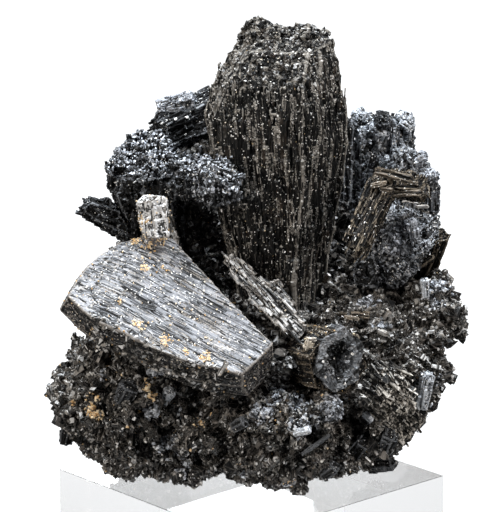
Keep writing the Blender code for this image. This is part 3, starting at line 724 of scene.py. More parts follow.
# %% A few shapes to strew
def hull_of(corners):
    """The convex hull of some corners, as a bmesh."""
    bm = bmesh.new()
    for corner in corners:
        bm.verts.new(corner)
    hull = bmesh.ops.convex_hull(bm, input=bm.verts)
    loose = {v for v in hull["geom_interior"] + hull["geom_unused"] if isinstance(v, bmesh.types.BMVert)}
    bmesh.ops.delete(bm, geom=list(loose), context="VERTS")
    bmesh.ops.recalc_face_normals(bm, faces=bm.faces)
    return bm


def new_attributes(mesh, *wanted):
    """Attributes for a mesh's points, looked up once all are made, since each new one moves the rest."""
    for name, kind in wanted:
        mesh.attributes.new(name, kind, "POINT")
    return [mesh.attributes[name] for name, _ in wanted]


def shapes_of(folder, seed, kinds, tip_from=9.0):
    """A folder of hulls, from rows of a kind, a count and a function for its random corners.

    A corner above tip_from belongs to a tip.
    """
    folder = bpy.data.collections.new(folder)
    dice = random.Random(seed)
    for name, corners in ((f"{kind}_{i}", corners) for kind, count, corners in kinds for i in range(count)):
        mesh = mesh_of(name, hull_of(corners(dice)))
        own, tip = new_attributes(mesh, ("own_place", "FLOAT_VECTOR"), ("tip", "FLOAT"))
        for corner in mesh.vertices:
            own.data[corner.index].vector = corner.co
            tip.data[corner.index].value = float(tip_from < corner.co.z)
        folder.objects.link(bpy.data.objects.new(name, mesh))
    return folder


def block(dice):
    box = [(x, y, z) for x in (-0.4, 0.4) for y in (-0.4, 0.4) for z in (-0.4, 0.4)]
    return [[c + dice.uniform(-0.16, 0.16) for c in corner] for corner in box]


def loose_corners(dice, count):
    return [[dice.uniform(-0.5, 0.5) for _ in range(3)] for _ in range(count)]


def prism(dice):
    angles = [math.tau * k / 6 + dice.uniform(-0.3, 0.3) for k in range(6)]
    ring = [(math.cos(a), math.sin(a)) for a in angles]
    corners = [(0.5 * x, 0.5 * y, z + dice.uniform(-0.06, 0.06)) for x, y in ring for z in (-0.5, 0.32)]
    return [*corners, (0.12 * dice.uniform(-1, 1), 0.12 * dice.uniform(-1, 1), 0.5)]


def plank(dice):
    """A length of fibre: four-sided, thinner at the foot and broken off askew at the tip."""
    sides = [(x, y) for x in (-0.5, 0.5) for y in (-0.5, 0.5)]
    tips = [(x * dice.uniform(0.7, 1.0), y * dice.uniform(0.6, 1.0), 0.5 - dice.uniform(0.0, 0.14))
            for x, y in sides]
    return [(x * 0.6, y * 0.6, -0.5) for x, y in sides] + tips


CHIPS = shapes_of("chips", 5, [("block", 7, block), ("shard", 2, lambda dice: loose_corners(dice, 10))])
PRISMS = shapes_of("prisms", 6, [("prism", 4, prism)])
PLANKS = shapes_of("planks", 7, [("plank", 6, plank)], tip_from=0.3)

# %% Copies of them on points
COPY_PATTERN = 0.3  # small copies show less of the pattern, so that their facets stay clean
CHIP_APART = (97.0, 61.0, 83.0)  # how far a chip's random number moves it through the pattern
PICKED_FROM = 50  # more than any folder holds: the pick starts again at the first shape
FACET_SCATTER = 917.0
FAVOURED_MIDDLE = (0.5, 0.5, 0.3)


def any_of(tree, low, high, seed):
    """A random vector, whole number or number for each point, between low and high."""
    kind, at = ("FLOAT_VECTOR", 0) if is_vector(low) else ("INT", 4) if isinstance(low, int) else ("FLOAT", 2)
    return Node(tree, "FunctionNodeRandomValue", {at: low, at + 1: high, "Seed": seed},
                data_type=kind)[at // 2]


def scattered(given, density, chosen=True):
    """Points on the faces of a mesh, and the way each face looks."""
    spread = Node(given.geometry.tree, "GeometryNodeDistributePointsOnFaces", {
        "Mesh": given.geometry, "Density": density, "Seed": given.seed, "Selection": chosen})
    return spread["Points"], spread["Normal"]


def turned(rotation, euler, space):
    by = Node(rotation.tree, "FunctionNodeEulerToRotation", {0: euler})[0]
    return Node(rotation.tree, "FunctionNodeRotateRotation", {"Rotation": rotation, "Rotate By": by},
                rotation_space=space)[0]


def aligned(vector):
    return Node(vector.tree, "FunctionNodeAlignRotationToVector", {"Vector": vector}, axis="Z")[0]


def within(place, low, high):
    """1 inside the box from low to high, and 0 outside it."""
    inside = 1.0
    for i in range(3):
        inside = inside * ((place[i] > low[i]) * (place[i] < high[i]))
    return inside


def copies(points, turn, given, pick_seed):
    """Copies of the shapes made real, each with its own place in the pattern and a random tone."""
    tree, size = points.tree, any_of(points.tree, given.smallest, given.largest, seed=2)
    shapes = Node(tree, "GeometryNodeCollectionInfo", {
        "Collection": given.shapes, "Separate Children": True, "Reset Children": True})[0]
    some = Node(tree, "GeometryNodeInstanceOnPoints", {
        "Points": points, "Instance": shapes, "Pick Instance": True, "Rotation": turn, "Scale": size,
        "Instance Index": any_of(tree, 0, PICKED_FROM, pick_seed)})[0]
    some = store(store(some, "chip", any_of(tree, 0.0, 1.0, seed=6), "INSTANCE"), "size", size, "INSTANCE")
    own, size, chip, tip = (Node(tree, "GeometryNodeInputNamedAttribute", {"Name": name}, data_type=kind)[0]
                            for name, kind in (("own_place", "FLOAT_VECTOR"), ("size", "FLOAT_VECTOR"),
                                               ("chip", "FLOAT"), ("tip", "FLOAT")))
    kept = store(real(some), "growth", own * size * COPY_PATTERN + CHIP_APART * chip)
    # A plank's broken tip counts as an edge, so the finish paints it pale: wear and painted highlight.
    kept = store(kept, "edge", 1.0 - (1.0 - tip) * size[2])

    # Painted glint: a facet is painted pale if it looks the way that its own chip happens to favour.
    favoured = Node(tree, "ShaderNodeTexWhiteNoise", {"W": chip * FACET_SCATTER},
                    noise_dimensions="1D")["Color"]
    favoured = calc("NORMALIZE", favoured - FAVOURED_MIDDLE)
    normal = Node(tree, "GeometryNodeInputNormal")[0]
    kept = store(kept, "glint", calc("DOT_PRODUCT", normal, favoured), "FACE")
    for name in ("own_place", "size", "tip"):
        kept = Node(tree, "GeometryNodeRemoveAttribute", {"Geometry": kept, "Name": name})[0]
    return finished(kept, given.material)


# %% The tree that strews them
HALF_TURN = 3.14


def strewn_shapes():
    tree, given, out, place, normal = geometry_tree(
        "Strewn shapes", shapes="Collection", density=1.0, smallest=(0.4, 0.4, 0.6), largest=(1.0, 1.0, 2.0),
        lean=1.2, sunk=0.0, upward=-2.0, downward=2.0, low=(-FAR, -FAR, 21.0), high=(FAR, FAR, FAR),
        seed=1)
    chosen = (normal[2] > given.upward) * (normal[2] < given.downward) * within(place, given.low, given.high)
    points, out_of = scattered(given, given.density, chosen)
    lowest, highest = joined(-given.lean, -given.lean, -HALF_TURN), joined(given.lean, given.lean, HALF_TURN)
    lean = any_of(tree, lowest, highest, seed=1)
    turn = turned(aligned(out_of), lean, "LOCAL")
    feed(out, copies(moved(points, out_of * -given.sunk), turn, given, 3))
    return tree


STREWN = strewn_shapes()


def laid_on(name, ground, axes, tree, look, slot, shapes, **inputs):
    """A piece made of shapes on a ground mesh, kept without the ground."""
    piece = in_scene(name, ground.copy())
    dressed(piece, tree, material=look, shapes=shapes, **inputs)
    put_back(piece, axes, None)


def strew(name, ground, look, slot, shapes, **inputs):
    laid_on(name, ground, UNTURNED, STREWN, look, slot, shapes, **inputs)


def ground_of(*names):
    """One mesh in millimetres of several finished pieces."""
    bm = bmesh.new()
    for name in names:
        bm.from_mesh(PIECES[name].data)
    bmesh.ops.scale(bm, vec=(1 / MM,) * 3, verts=bm.verts)
    return mesh_of("ground", bm)


# %% Chips and prisms on the mass
strew("coarse_chips", mass_ground, GRANULAR, GRAINS, CHIPS, seed=21, density=0.08, smallest=0.9,
      largest=(2.5, 2.3, 2.1), lean=0.7, sunk=1.0)
strew("fine_chips", mass_ground, CHIPPED, GRAINS, CHIPS, seed=22, density=0.6, smallest=0.4,
      largest=(1.2, 1.1, 1.0), lean=1.2, sunk=0.3)
strew("finest_chips", mass_ground, CHIPPED, GRAINS, CHIPS, seed=20, density=0.6, smallest=(0.25, 0.25, 0.2),
      largest=(0.8, 0.7, 0.6), lean=1.6, sunk=-0.1)
strew("little_prisms", mass_ground, CHIPPED, GRAINS, PRISMS, seed=23, density=0.14, smallest=(0.5, 0.5, 1.0),
      largest=(1.1, 1.1, 2.4), lean=1.3, sunk=0.5)

# %% [markdown]
# ## Broken lengths of fibre
#
# The ribs of the skins are low, and their ends are soft. Real splinters stand off the crystal, with square
# broken tips that catch the light. So the sides of the crystals are strewn with thousands of planks, all
# along the crystal's length with their flat side on its face. The tree works in the crystal's own frame,
# where that length is Z.

# %% The tree that lays planks along a crystal
TWIST = 0.3  # how far a plank may turn about its own length, in radians


def laid_planks():
    tree, given, out, place, normal = geometry_tree(
        "Laid planks", shapes="Collection", density=0.8, smallest=(0.25, 0.25, 1.0), largest=(0.7, 0.6, 5.0),
        deepest=-0.3, highest=0.0, lean=0.03, fan=0.0, low=(-FAR, -FAR, -FAR), high=(FAR, FAR, FAR),
        steepest=0.6, broad_from=-2.0, seed=1)
    chosen = (calc("ABSOLUTE", normal[2]) < given.steepest) * (-normal[1] > given.broad_from)
    points, out_of = scattered(given, given.density, chosen * within(place, given.low, given.high))
    points = moved(points, out_of * any_of(tree, given.deepest, given.highest, seed=4))
    lowest, highest = joined(-given.lean, -given.lean, -TWIST), joined(given.lean, given.lean, TWIST)
    lean = any_of(tree, lowest, highest, seed=1) + joined(0.0, 0.0, -calc("ARCTAN2", out_of[0], out_of[1]))
    turn = turned(Node(tree, "FunctionNodeEulerToRotation", {0: lean})[0],
                  joined(0.0, place[0] * given.fan, 0.0), "GLOBAL")
    feed(out, copies(points, turn, given, 3))
    return tree


LAID = laid_planks()


def lay_planks(name, node, look, slot, **inputs):
    """Planks along a crystal, as a piece of their own."""
    laid_on(name, *GROUND[node], LAID, look, slot, PLANKS, **inputs)


# %% Planks on the crystals
lay_planks("upright_planks", "upright_crystal", BROWN_BLACK, BLACK, seed=41, density=2.6,
           smallest=(0.1, 0.15, 0.8), largest=(0.3, 0.3, 3.6), deepest=-0.28, highest=-0.15, fan=0.012,
           lean=0.012, steepest=0.22, high=(FAR, FAR, 42.0))
for node, look, slot, seed, steepest, density in (
        ("left_stub_crystals", BLUE_BLACK, BLACK, 43, 0.25, 1.0),
        ("back_left_crystal", BLUE_BLACK, BLACK, 44, 0.6, 1.2),
        ("right_back_crystals", BLUE_BLACK, BLACK, 45, 0.25, 0.15),
        ("right_block_crystal", BLUE_BLACK, BLACK, 46, 0.25, 0.2),
        ("splinter_crystals", PALE_GREY, SHEEN, 47, 0.6, 0.8),
        ("side_point_crystal", BLUE_BLACK, BLACK, 48, 0.3, 1.0)):
    lay_planks(node.replace("crystals", "planks").replace("crystal", "planks"), node, look, slot, seed=seed,
               density=density, smallest=(0.2, 0.25, 0.8), largest=(0.65, 0.5, 3.0), deepest=-0.35,
               highest=-0.1, steepest=steepest)
lay_planks("blade_planks", "blade_crystals", RUST_BROWN, BROWN, seed=49, density=1.4,
           smallest=(0.1, 0.15, 2.0), largest=(0.35, 0.3, 7.0), deepest=-0.2, highest=-0.12, lean=0.008,
           low=(-FAR, -FAR, 4.0))
lay_planks("right_edge_planks", "right_edge_crystal", RUST_BROWN, BROWN, seed=50, density=1.2,
           smallest=(0.15, 0.2, 1.5), largest=(0.4, 0.4, 5.0), deepest=-0.25, highest=-0.12, lean=0.02,
           high=(FAR, FAR, 8.0))

# %% Chips on the worn tops of the crystals
upright_ground = ground_of("upright_crystal_skin")
strew("upright_top_chips", upright_ground, CHIPPED, BLACK, CHIPS, seed=24, density=1.3,
      smallest=(0.3, 0.3, 0.4), largest=(0.9, 0.9, 1.3), lean=0.9, upward=0.25, low=(-20.0, -30.0, 79.0),
      sunk=0.3)
left_stub_ground = ground_of("left_stub_crystals_skin")
# Pale blue-grey chips on the stub's upper faces: a painted highlight of the cool overhead light on its top.
for name, upward, low, high, seed in (("left_stub_chips", 0.35, (-30.0, -30.0, 66.0), (-7.5, FAR, FAR), 25),
                                      ("left_lobe_chips", -0.35, (-8.5, -30.0, 63.0), (2.0, FAR, FAR), 30)):
    strew(name, left_stub_ground, BLUE_GREY, BLACK, CHIPS, seed=seed, density=5.0, smallest=0.2,
          largest=(0.65, 0.65, 0.6), lean=1.6, upward=upward, low=low, high=high, sunk=0.05)
strew("right_chips", ground_of("right_back_crystals_skin", "right_block_crystal_skin"), BLUE_BLACK, BLACK,
      CHIPS, seed=26, density=0.2, smallest=0.3, largest=(1.0, 1.0, 0.8), lean=1.2, upward=-0.4,
      low=(14.0, -30.0, 45.0), sunk=0.25)
strew("under_leaning_chips", ground_of("leaning_crystal_skin"), CHIPPED, GRAINS, CHIPS, seed=27, density=1.6,
      smallest=(0.5, 0.5, 0.4), largest=(1.8, 1.8, 1.2), lean=1.2, downward=-0.05, low=(-24.0, -FAR, 21.0),
      high=(-5.0, FAR, FAR), sunk=0.4)

# %% [markdown]
# ## Single crystals set one by one
#
# Some crystals of the mass are large enough to know one by one: blue-grey lumps, whose pale blue is a
# painted reflection of the cool overhead light, thin black sticks and tan planks. Each is given as a place
# in the front view, with a length, a width and a thickness in millimetres, the way it points there in
# degrees, how much it leans towards the viewer and how far it stands out. A ray from the camera finds the
# place on the solids, so the crystal sits on what carries it from any side. The camera comes first,
# because the rays start there.

# %% Camera
CAMERA_TARGET, CAMERA_DISTANCE = Vector((0, 0, 0.054)), 0.49
CAMERA_ELEVATION = math.radians(15)


def look_at(obj, place, target):
    obj.location = place
    obj.rotation_euler = (Vector(target) - Vector(place)).to_track_quat("-Z", "Y").to_euler()


camera = in_scene("camera", bpy.data.cameras.new("camera"))
away = Vector((0, -math.cos(CAMERA_ELEVATION), math.sin(CAMERA_ELEVATION)))
look_at(camera, CAMERA_TARGET + CAMERA_DISTANCE * away, CAMERA_TARGET)
camera.data.lens = 231
camera.data.sensor_width = 36
camera.data.clip_start = 0.01
bpy.context.scene.camera = camera

# %% From the front view to the solids
FRAME_WIDTH, FRAME_HEIGHT = 502, 512
VIEW = camera.rotation_euler.to_matrix()


def solids_tree():
    """One search tree over every solid but the block."""
    points, faces = [], []
    for name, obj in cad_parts.items():
        if name != "display_block":
            start = len(points)
            points += [v.co.copy() for v in obj.data.vertices]
            faces += [[start + i for i in p.vertices] for p in obj.data.polygons]
    return BVHTree.FromPolygons(points, faces)


SOLIDS = solids_tree()


def found_on_solids(across, down, depth=None):
    """The place, in millimetres, of a spot of the front view on the solids, or at a depth if one is given."""
    half = camera.data.sensor_width / 2 / camera.data.lens / (FRAME_HEIGHT / 2)
    seen = Vector(((across - FRAME_WIDTH / 2) * half, (FRAME_HEIGHT / 2 - down) * half, -1))
    way = (VIEW @ seen).normalized()
    if depth is not None:
        return (camera.location + way * ((depth * MM - camera.location.y) / way.y)) / MM
    place = SOLIDS.ray_cast(camera.location, way)[0]
    return place / MM if place else None


# %% One crystal from a row of numbers
SHORT_STRETCH = 1.3  # a short crystal's faces are this much longer than they are wide


def blank(length, width, thick, sides, dice):
    """A rough prism along Z with a broken tip, as a bmesh."""
    corners = []
    for k in range(sides):
        a = math.tau * (k + 0.5) / sides + dice.uniform(-0.18, 0.18)
        reach = 0.5 * 1.35 if sides == 4 else 0.5
        x, y = reach * width * math.cos(a), reach * thick * math.sin(a)
        corners += [(0.85 * x, 0.85 * y, -0.5 * length), (x, y, length * (0.4 - dice.uniform(0.0, 0.12))),
                    (0.6 * x, 0.6 * y, length * (0.5 - dice.uniform(0.0, 0.12)))]
    return hull_of(corners)


def set_crystals(name, look, slot, ribs, seed, sides, rows, voxel=0.15, depth=None, **inputs):
    """Crystals from rows of (across, down, length, width, thickness, degrees, towards, out), as one piece."""
    dice = random.Random(seed)
    together = bmesh.new()
    inputs = dict(rib_depth=0.12, bundle_depth=0.25, gap_depth=0.15, broad_from=-0.2) | RIBS[ribs] | inputs
    for across, down, length, width, thick, degrees, towards, out in rows:
        place = found_on_solids(across, down, depth)
        if place is None:
            continue
        turn = math.radians(degrees)
        tip = (VIEW @ Vector((math.cos(turn), math.sin(turn), towards))).normalized()
        middle = place + VIEW @ Vector((0, 0, out))
        face = VIEW @ Vector((dice.uniform(-0.3, 0.3), dice.uniform(-0.3, 0.3), 1))
        axes = crystal_axes(middle, middle + tip, face)
        piece, edges = skin_of(blank(length, width, thick, sides, dice), name, voxel, SHORT_STRETCH)
        dressed(piece, RIBBED, material=look, edges=edges, seed=dice.randrange(40), **inputs)
        piece.data.transform(axes)
        together.from_mesh(piece.data)
        for used in (piece, edges):
            bpy.data.objects.remove(used)
    piece = in_scene(name, mesh_of(name, together))
    piece.data.materials.append(look)
    put_back(piece, UNTURNED, None)


# %% Blue-grey and pale crystals
# The pale blue of these lumps is a painted reflection of the cool overhead light.
ICE_BLUE_CRYSTALS = [
    (425, 390, 6.0, 2.6, 2.2, 80, 0.3, 0.1), (168, 394, 2.2, 2.2, 2.2, 60, 0.8, 0.3),
    (369, 417, 2.2, 1.4, 1.4, -45, 0.4, 0.2), (303, 431, 2.8, 1.5, 1.6, 15, 0.5, 0.2),
    (425, 287, 3.2, 1.5, 1.6, 95, 0.4, 0.1), (404, 121, 4.0, 3.8, 3.2, 60, 2.2, -0.8),
    (377, 133, 3.8, 3.2, 2.8, 75, 1.8, -0.5), (361, 117, 3.6, 3.0, 2.8, 120, 1.8, -0.8),
    (386, 161, 1.8, 1.6, 1.6, 40, 0.7, 0.4)]
set_crystals("ice_blue_crystals", ICE_BLUE, SHEEN, "mass", 61, 7, ICE_BLUE_CRYSTALS, voxel=0.14,
             rib_depth=0.06, bundle_depth=0.15)
BLUE_GREY_CRYSTALS = [
    (333, 408, 3.0, 3.0, 2.8, 100, 0.9, 0.1), (152, 412, 2.4, 1.9, 1.6, 10, 0.6, 0.2),
    (261, 413, 3.4, 1.5, 1.6, 5, 0.3, 0.1), (395, 240, 4.4, 2.6, 1.6, 70, 0.2, 0.0),
    (160, 371, 3.8, 1.5, 1.6, 5, 0.4, 0.2), (430, 176, 2.4, 2.2, 1.6, 20, 0.2, 0.2),
    (366, 302, 2.4, 1.6, 1.2, 10, 0.4, 0.3), (420, 158, 2.6, 2.2, 2.0, 30, 0.5, 0.2),
    (412, 228, 3.4, 2.4, 1.8, 100, 0.5, 0.3)]
set_crystals("blue_grey_crystals", BLUE_GREY, SHEEN, "mass", 62, 7, BLUE_GREY_CRYSTALS)
PALE_GREY_CRYSTALS = [
    (422, 206, 2.2, 0.8, 0.8, 2, 0.2, 0.5), (423, 212, 2.1, 0.7, 0.8, 0, 0.2, 0.5),
    (422, 218, 2.1, 0.6, 0.8, -3, 0.2, 0.5), (412, 202, 3.0, 0.7, 0.8, -4, 0.2, 0.4),
    (223, 368, 2.6, 1.3, 0.9, 62, 0.2, 0.6), (207, 383, 1.7, 1.0, 1.0, 65, 0.3, 0.8),
    (383, 332, 1.7, 1.1, 1.0, -20, 0.4, 0.4), (377, 323, 1.5, 1.1, 1.0, 60, 0.4, 0.4)]
set_crystals("pale_grey_crystals", PALE_GREY, SHEEN, "small", 63, 5, PALE_GREY_CRYSTALS, voxel=0.13)
POROUS_BLOCK = [(153, 216, 6.6, 5.4, 3.8, 98, 0.1, 1.0)]
set_crystals("porous_block", POROUS_WHITE, SHEEN, "mass", 71, 6, POROUS_BLOCK, rib_depth=0.14,
             bundle_depth=0.4, sway=1.2)
CREAM_FACET = [(310, 343, 2.3, 2.3, 1.6, 70, 0.4, 0.6)]
set_crystals("cream_facet", CREAM, SHEEN, "mass", 64, 5, CREAM_FACET)

# %% Black, brown and tan crystals
BLACK_CRYSTALS = [
    (127, 392, 4.0, 3.6, 3.0, 60, 0.8, 0.1), (388, 441, 3.8, 3.2, 3.0, 70, 0.8, 0.0),
    (361, 449, 3.6, 2.6, 2.8, 60, 0.8, 0.0), (383, 465, 5.0, 2.6, 2.6, 10, 0.4, 0.0),
    (67, 434, 3.2, 2.6, 2.5, 80, 0.5, -0.3), (316, 444, 5.4, 0.9, 0.9, 34, 0.1, 0.7),
    (356, 442, 3.6, 0.6, 0.6, 50, 0.1, 0.9), (240, 424, 2.8, 2.4, 2.2, 30, 0.6, 0.1),
    (433, 196, 5.0, 2.6, 2.0, 88, 0.0, 0.1), (330, 470, 3.4, 2.4, 2.4, 40, 0.6, -0.1),
    (149, 307, 2.2, 0.9, 0.5, -12, 0.1, 0.3), (153, 303, 1.0, 0.6, 0.4, 60, 0.1, 0.4)]
set_crystals("black_crystals", BLUE_BLACK, GRAINS, "small", 65, 6, BLACK_CRYSTALS)
CRYSTALS_BEHIND = [(347, 158, 13.0, 2.6, 3.0, 88, 0.0, 0.0), (384, 124, 4.4, 3.4, 3.4, 100, 1.2, 0.0)]
set_crystals("crystals_behind", BLUE_BLACK, BLACK, "small", 66, 6, CRYSTALS_BEHIND, depth=9.0, rib_depth=0.3,
             worn_from=4.0)
TOP_OF_BACK_LEFT = [(178, 103, 6.4, 3.4, 3.4, 14, 0.0, 0.0)]
set_crystals("top_of_back_left", BLUE_GREY, BLACK, "mass", 72, 6, TOP_OF_BACK_LEFT, depth=12.5, rib_depth=0.3)
BROWN_CRYSTALS = [
    (361, 315, 3.2, 1.2, 1.0, -5, 0.3, 0.6), (338, 315, 3.4, 1.0, 1.0, 3, 0.3, 0.5),
    (405, 187, 5.6, 1.0, 1.2, -4, 0.1, 0.5), (423, 263, 4.2, 1.3, 1.2, 35, 0.1, 0.4),
    (440, 268, 3.6, 1.2, 1.2, -30, 0.1, 0.1)]
set_crystals("brown_crystals", RUST_BROWN, BROWN, "blades", 67, 4, BROWN_CRYSTALS)
TAN_PLANKS = [
    (395, 176, 6.2, 1.3, 1.2, -14, 0.1, 0.6), (406, 194, 5.8, 1.0, 1.2, 4, 0.1, 0.6),
    (379, 184, 2.6, 1.0, 1.0, 12, 0.1, 0.5), (387, 190, 2.2, 0.8, 0.9, -4, 0.1, 0.5),
    (352, 318, 2.4, 0.6, 0.7, -12, 0.2, 0.8)]
set_crystals("tan_planks", TAN, BROWN, "blades", 68, 4, TAN_PLANKS, voxel=0.13)

# %% [markdown]
# ## The six-sided end
#
# One stout crystal shows its end: a hexagon with a smooth rim, pale from a painted sheen, steps that go
# down towards the middle, and a dark hollow full of tiny crystals. It is drawn as rings around the
# crystal's axis, each at a height of its own, with a skirt that sinks into the solid.

# %% Rings of the six-sided end
RINGS, SKIRT_RINGS, AROUND = 26, 15, 96
SKIRT_DEPTH = 4.5
GROWTH_STEPS = 9


def end_point(share, a, half_width, half_height, top):
    """A point of the end face, at a share of the way out from its middle and an angle."""
    hexagon = math.cos(math.pi / 6) / math.cos((a + math.pi / 6) % (math.pi / 3) - math.pi / 6)
    reach = max(share,
                0.02) * hexagon * (1 + 0.09 * noise.noise(Vector((2 * math.cos(a), 2 * math.sin(a), 5))))
    place = Vector((half_width * reach * math.cos(a), half_height * reach * math.sin(a), 0.0))
    streak = noise.noise(Vector((5 * math.cos(a), 5 * math.sin(a), 0.6 * share)))
    rough = noise.noise(place * 1.6) * 0.4 + noise.noise(place * 4.1) * 0.4 + 0.35 * streak
    stepped = math.floor(share * GROWTH_STEPS + noise.noise(place * 0.5)) / GROWTH_STEPS
    hollow = 1.1 * (1 - min(1.0, stepped * 1.5)) ** 1.5
    place.z = top + 0.25 - hollow + rough * (1.0 if share < 0.6 else 0.4)
    return place


def skirt_point(place, down):
    """A point below one of the rim's, on sides with soft ribs."""
    rib = noise.noise(Vector((place.x * 1.9, place.y * 1.9, down * 0.25)))
    swell = 1 + 0.07 * rib + 0.03 * noise.noise(Vector((place.x * 4, place.y * 4, down * 1.5))) - 0.02
    return place.x * swell, place.y * swell, place.z - down


def six_sided_end(foot, tip, face, half_width, half_height):
    top = (Vector(tip) - Vector(foot)).length
    bm = bmesh.new()
    rows = [[bm.verts.new(end_point(ring / RINGS, math.tau * k / AROUND, half_width, half_height, top))
             for k in range(AROUND)] for ring in range(RINGS + 1)]
    rim = [v.co.copy() for v in rows[-1]]
    rows += [[bm.verts.new(skirt_point(place, SKIRT_DEPTH * ring / SKIRT_RINGS)) for place in rim]
             for ring in range(1, SKIRT_RINGS + 1)]
    for inner, outer in zip(rows, rows[1:]):
        for k in range(AROUND):
            bm.faces.new((inner[k], outer[k], outer[(k + 1) % AROUND], inner[(k + 1) % AROUND]))
    bm.faces.new(rows[0])
    bm.faces.new(reversed(rows[-1]))
    bmesh.ops.recalc_face_normals(bm, faces=bm.faces)
    piece = in_scene("six_sided_end", mesh_of("six_sided_end", bm))
    mesh = piece.data
    growth, chip, edge, facing = new_attributes(
        mesh, ("growth", "FLOAT_VECTOR"), ("chip", "FLOAT"), ("edge", "FLOAT"), ("facing", "FLOAT"))
    for i, v in enumerate(mesh.vertices):
        share, skirt = min(1.0, i // AROUND / RINGS), i // AROUND > RINGS
        growth.data[i].vector = v.co * 0.4
        chip.data[i].value = 0.5 + 0.5 * noise.noise(v.co * 2.0)
        # edge marks the outer rim, which the finish paints pale as a highlight, and facing the smooth rim,
        # where it paints a sheen.
        edge.data[i].value = 0.9 if share > 0.97 and not skirt else 0.0
        smooth = (share - 0.5 + 0.3 * noise.noise(v.co * 0.8)) / 0.15
        facing.data[i].value = 0.0 if skirt else max(0.0, min(1.0, smooth))
    mesh.materials.append(HEXAGON_GREY)
    put_back(piece, crystal_axes(foot, tip, face), None)


six_sided_end((9.0, -8.8, 41.8), (12.7, -17.3, 43.1), (0.18, 0.2, 1), 4.1, 4.9)

# %% [markdown]
# ## Pale specks
#
# Tiny pale grains, scattered on the black crystals as painted highlights that stand for their glints, are
# the brightest thing on the specimen. Each has four corners and is less than half a millimetre wide, so
# many can be real geometry. They lie on the mass and on the upright crystal.

# %% Specks
# Mostly pale grey, as painted glints, and a few ochre.
def speck_finish():
    made, tree, shader = new_material("pale_speck")
    chip = attribute(tree, "chip")
    color = mixed(ramp(chip, 0.0, 0.75), (0.2, 0.17, 0.13, 1), (0.75, 0.73, 0.7, 1))
    feed(shader["Base Color"], mixed(ramp(chip, 0.88, 0.95), color, (0.6, 0.42, 0.22, 1)))
    feed(shader["Roughness"], ramp(chip, 0.0, 1.0, 0.6, 0.3))
    return made


SPECKS = shapes_of("specks", 8, [("speck", 3, lambda dice: loose_corners(dice, 4))])
PALE_SPECK = speck_finish()
strew("mass_specks", ground_of("granular_mass_skin", "coarse_chips"), PALE_SPECK, GRAINS, SPECKS, seed=28,
      density=0.3, smallest=0.12, largest=0.5, lean=1.6, sunk=-0.05)
strew("upright_specks", upright_ground, PALE_SPECK, BLACK, SPECKS, seed=29, density=0.8, smallest=0.1,
      largest=0.4, lean=1.6)

# %% [markdown]
# ## The ochre crust
#
# Iron oxide has settled as a soft yellow-brown crust where water stood: on the lower left of the mass,
# under the leaning crystal, and as single dots elsewhere. The spots are given in the front view, as the
# single crystals are. Lumps are strewn over the skins, close together near a spot and hardly at all
# away from it.

# %% A tree that clusters copies around places
def clustered(name, places):
    tree, given, out, place, _ = geometry_tree(
        name, shapes="Collection", density=24.0, dots=0.0, smallest=(0.18, 0.18, 0.18),
        largest=(0.6, 0.6, 0.5), way=(0.0, 0.0, 1.0), loose=3.1, lift=0.0, seed=1)
    shares = [ramp(calc("DISTANCE", place, tuple(middle)), radius * 0.6, radius * 1.4, 1.0, 0.0)
              for middle, radius in places]
    near = functools.reduce(lambda one, other: calc("MAXIMUM", one, other), shares)
    density = near * ramp(clouds(place, 1.1, 2.0)[0], 0.42, 0.6) * given.density
    density = density + ramp(place[0], -32.0, 24.0, 1.6, 0.3) * given.dots
    points, out_of = scattered(given, density)
    spin = any_of(tree, (-1.0, -1.0, -1.0), (1.0, 1.0, 1.0), seed=3) * given.loose
    feed(out, copies(moved(points, out_of * given.lift), turned(aligned(given.way), spin, "LOCAL"), given, 4))
    return tree


def cluster(name, spots, ground, look, slot, shapes, **inputs):
    """A cluster of copies on a ground mesh around each of the spots (across, down, radius in millimetres)."""
    places = [(found_on_solids(across, down), radius) for across, down, radius in spots]
    places = [(place, radius) for place, radius in places if place]
    print(f"{name}: {len(places)} of {len(spots)} spots lie on the solids")
    laid_on(name, ground, UNTURNED, clustered(name, places), look, slot, shapes, **inputs)


# %% The crust
def crust_finish():
    made, tree, shader = new_material("ochre_crust", roughness=0.85, specular_ior_level=0.3)
    grain = clouds(attribute(tree, "growth", "Vector"), 3.0, 5.0)[0]
    feed(shader["Base Color"], mixed(ramp(grain, 0.35, 0.65), (0.62, 0.38, 0.16, 1), (0.9, 0.76, 0.54, 1)))
    bump = Node(tree, "ShaderNodeBump", {"Strength": 0.6, "Distance": 0.2 * MM, "Height": grain})
    feed(shader["Normal"], bump[0])
    return made


OCHRE = crust_finish()
MASS_SPOTS = [(85, 411, 0.7), (92, 410, 0.8), (99, 411, 0.6), (93, 398, 0.6), (72, 402, 0.6), (150, 389, 0.7),
              (147, 382, 0.6), (153, 396, 0.6), (135, 430, 0.6), (141, 417, 0.5), (205, 421, 0.9),
              (200, 417, 0.7), (180, 475, 0.5), (214, 485, 0.7), (290, 480, 0.6), (130, 468, 0.6),
              (146, 226, 1.2), (143, 214, 0.8)]
SHEEN_SPOTS = [(145, 268, 0.7), (140, 325, 0.9), (167, 342, 1.0), (206, 358, 1.0), (310, 340, 0.7),
               (118, 300, 0.5), (186, 352, 0.5), (160, 268, 0.5), (143, 222, 3.2), (148, 236, 2.8),
               (138, 214, 2.6)]
chipped_mass = ("granular_mass_skin", "coarse_chips", "fine_chips")
cluster("mass_crust", MASS_SPOTS, ground_of(*chipped_mass), OCHRE, GRAINS, CHIPS, seed=31, dots=0.012)
cluster("crystal_crust", SHEEN_SPOTS,
        ground_of("leaning_crystal_skin", "pale_crystal_skin", "hexagonal_crystal_skin", "porous_block"),
        OCHRE, GRAINS, CHIPS, seed=32, density=22.0, dots=0.14, smallest=0.1, largest=(0.42, 0.42, 0.3))

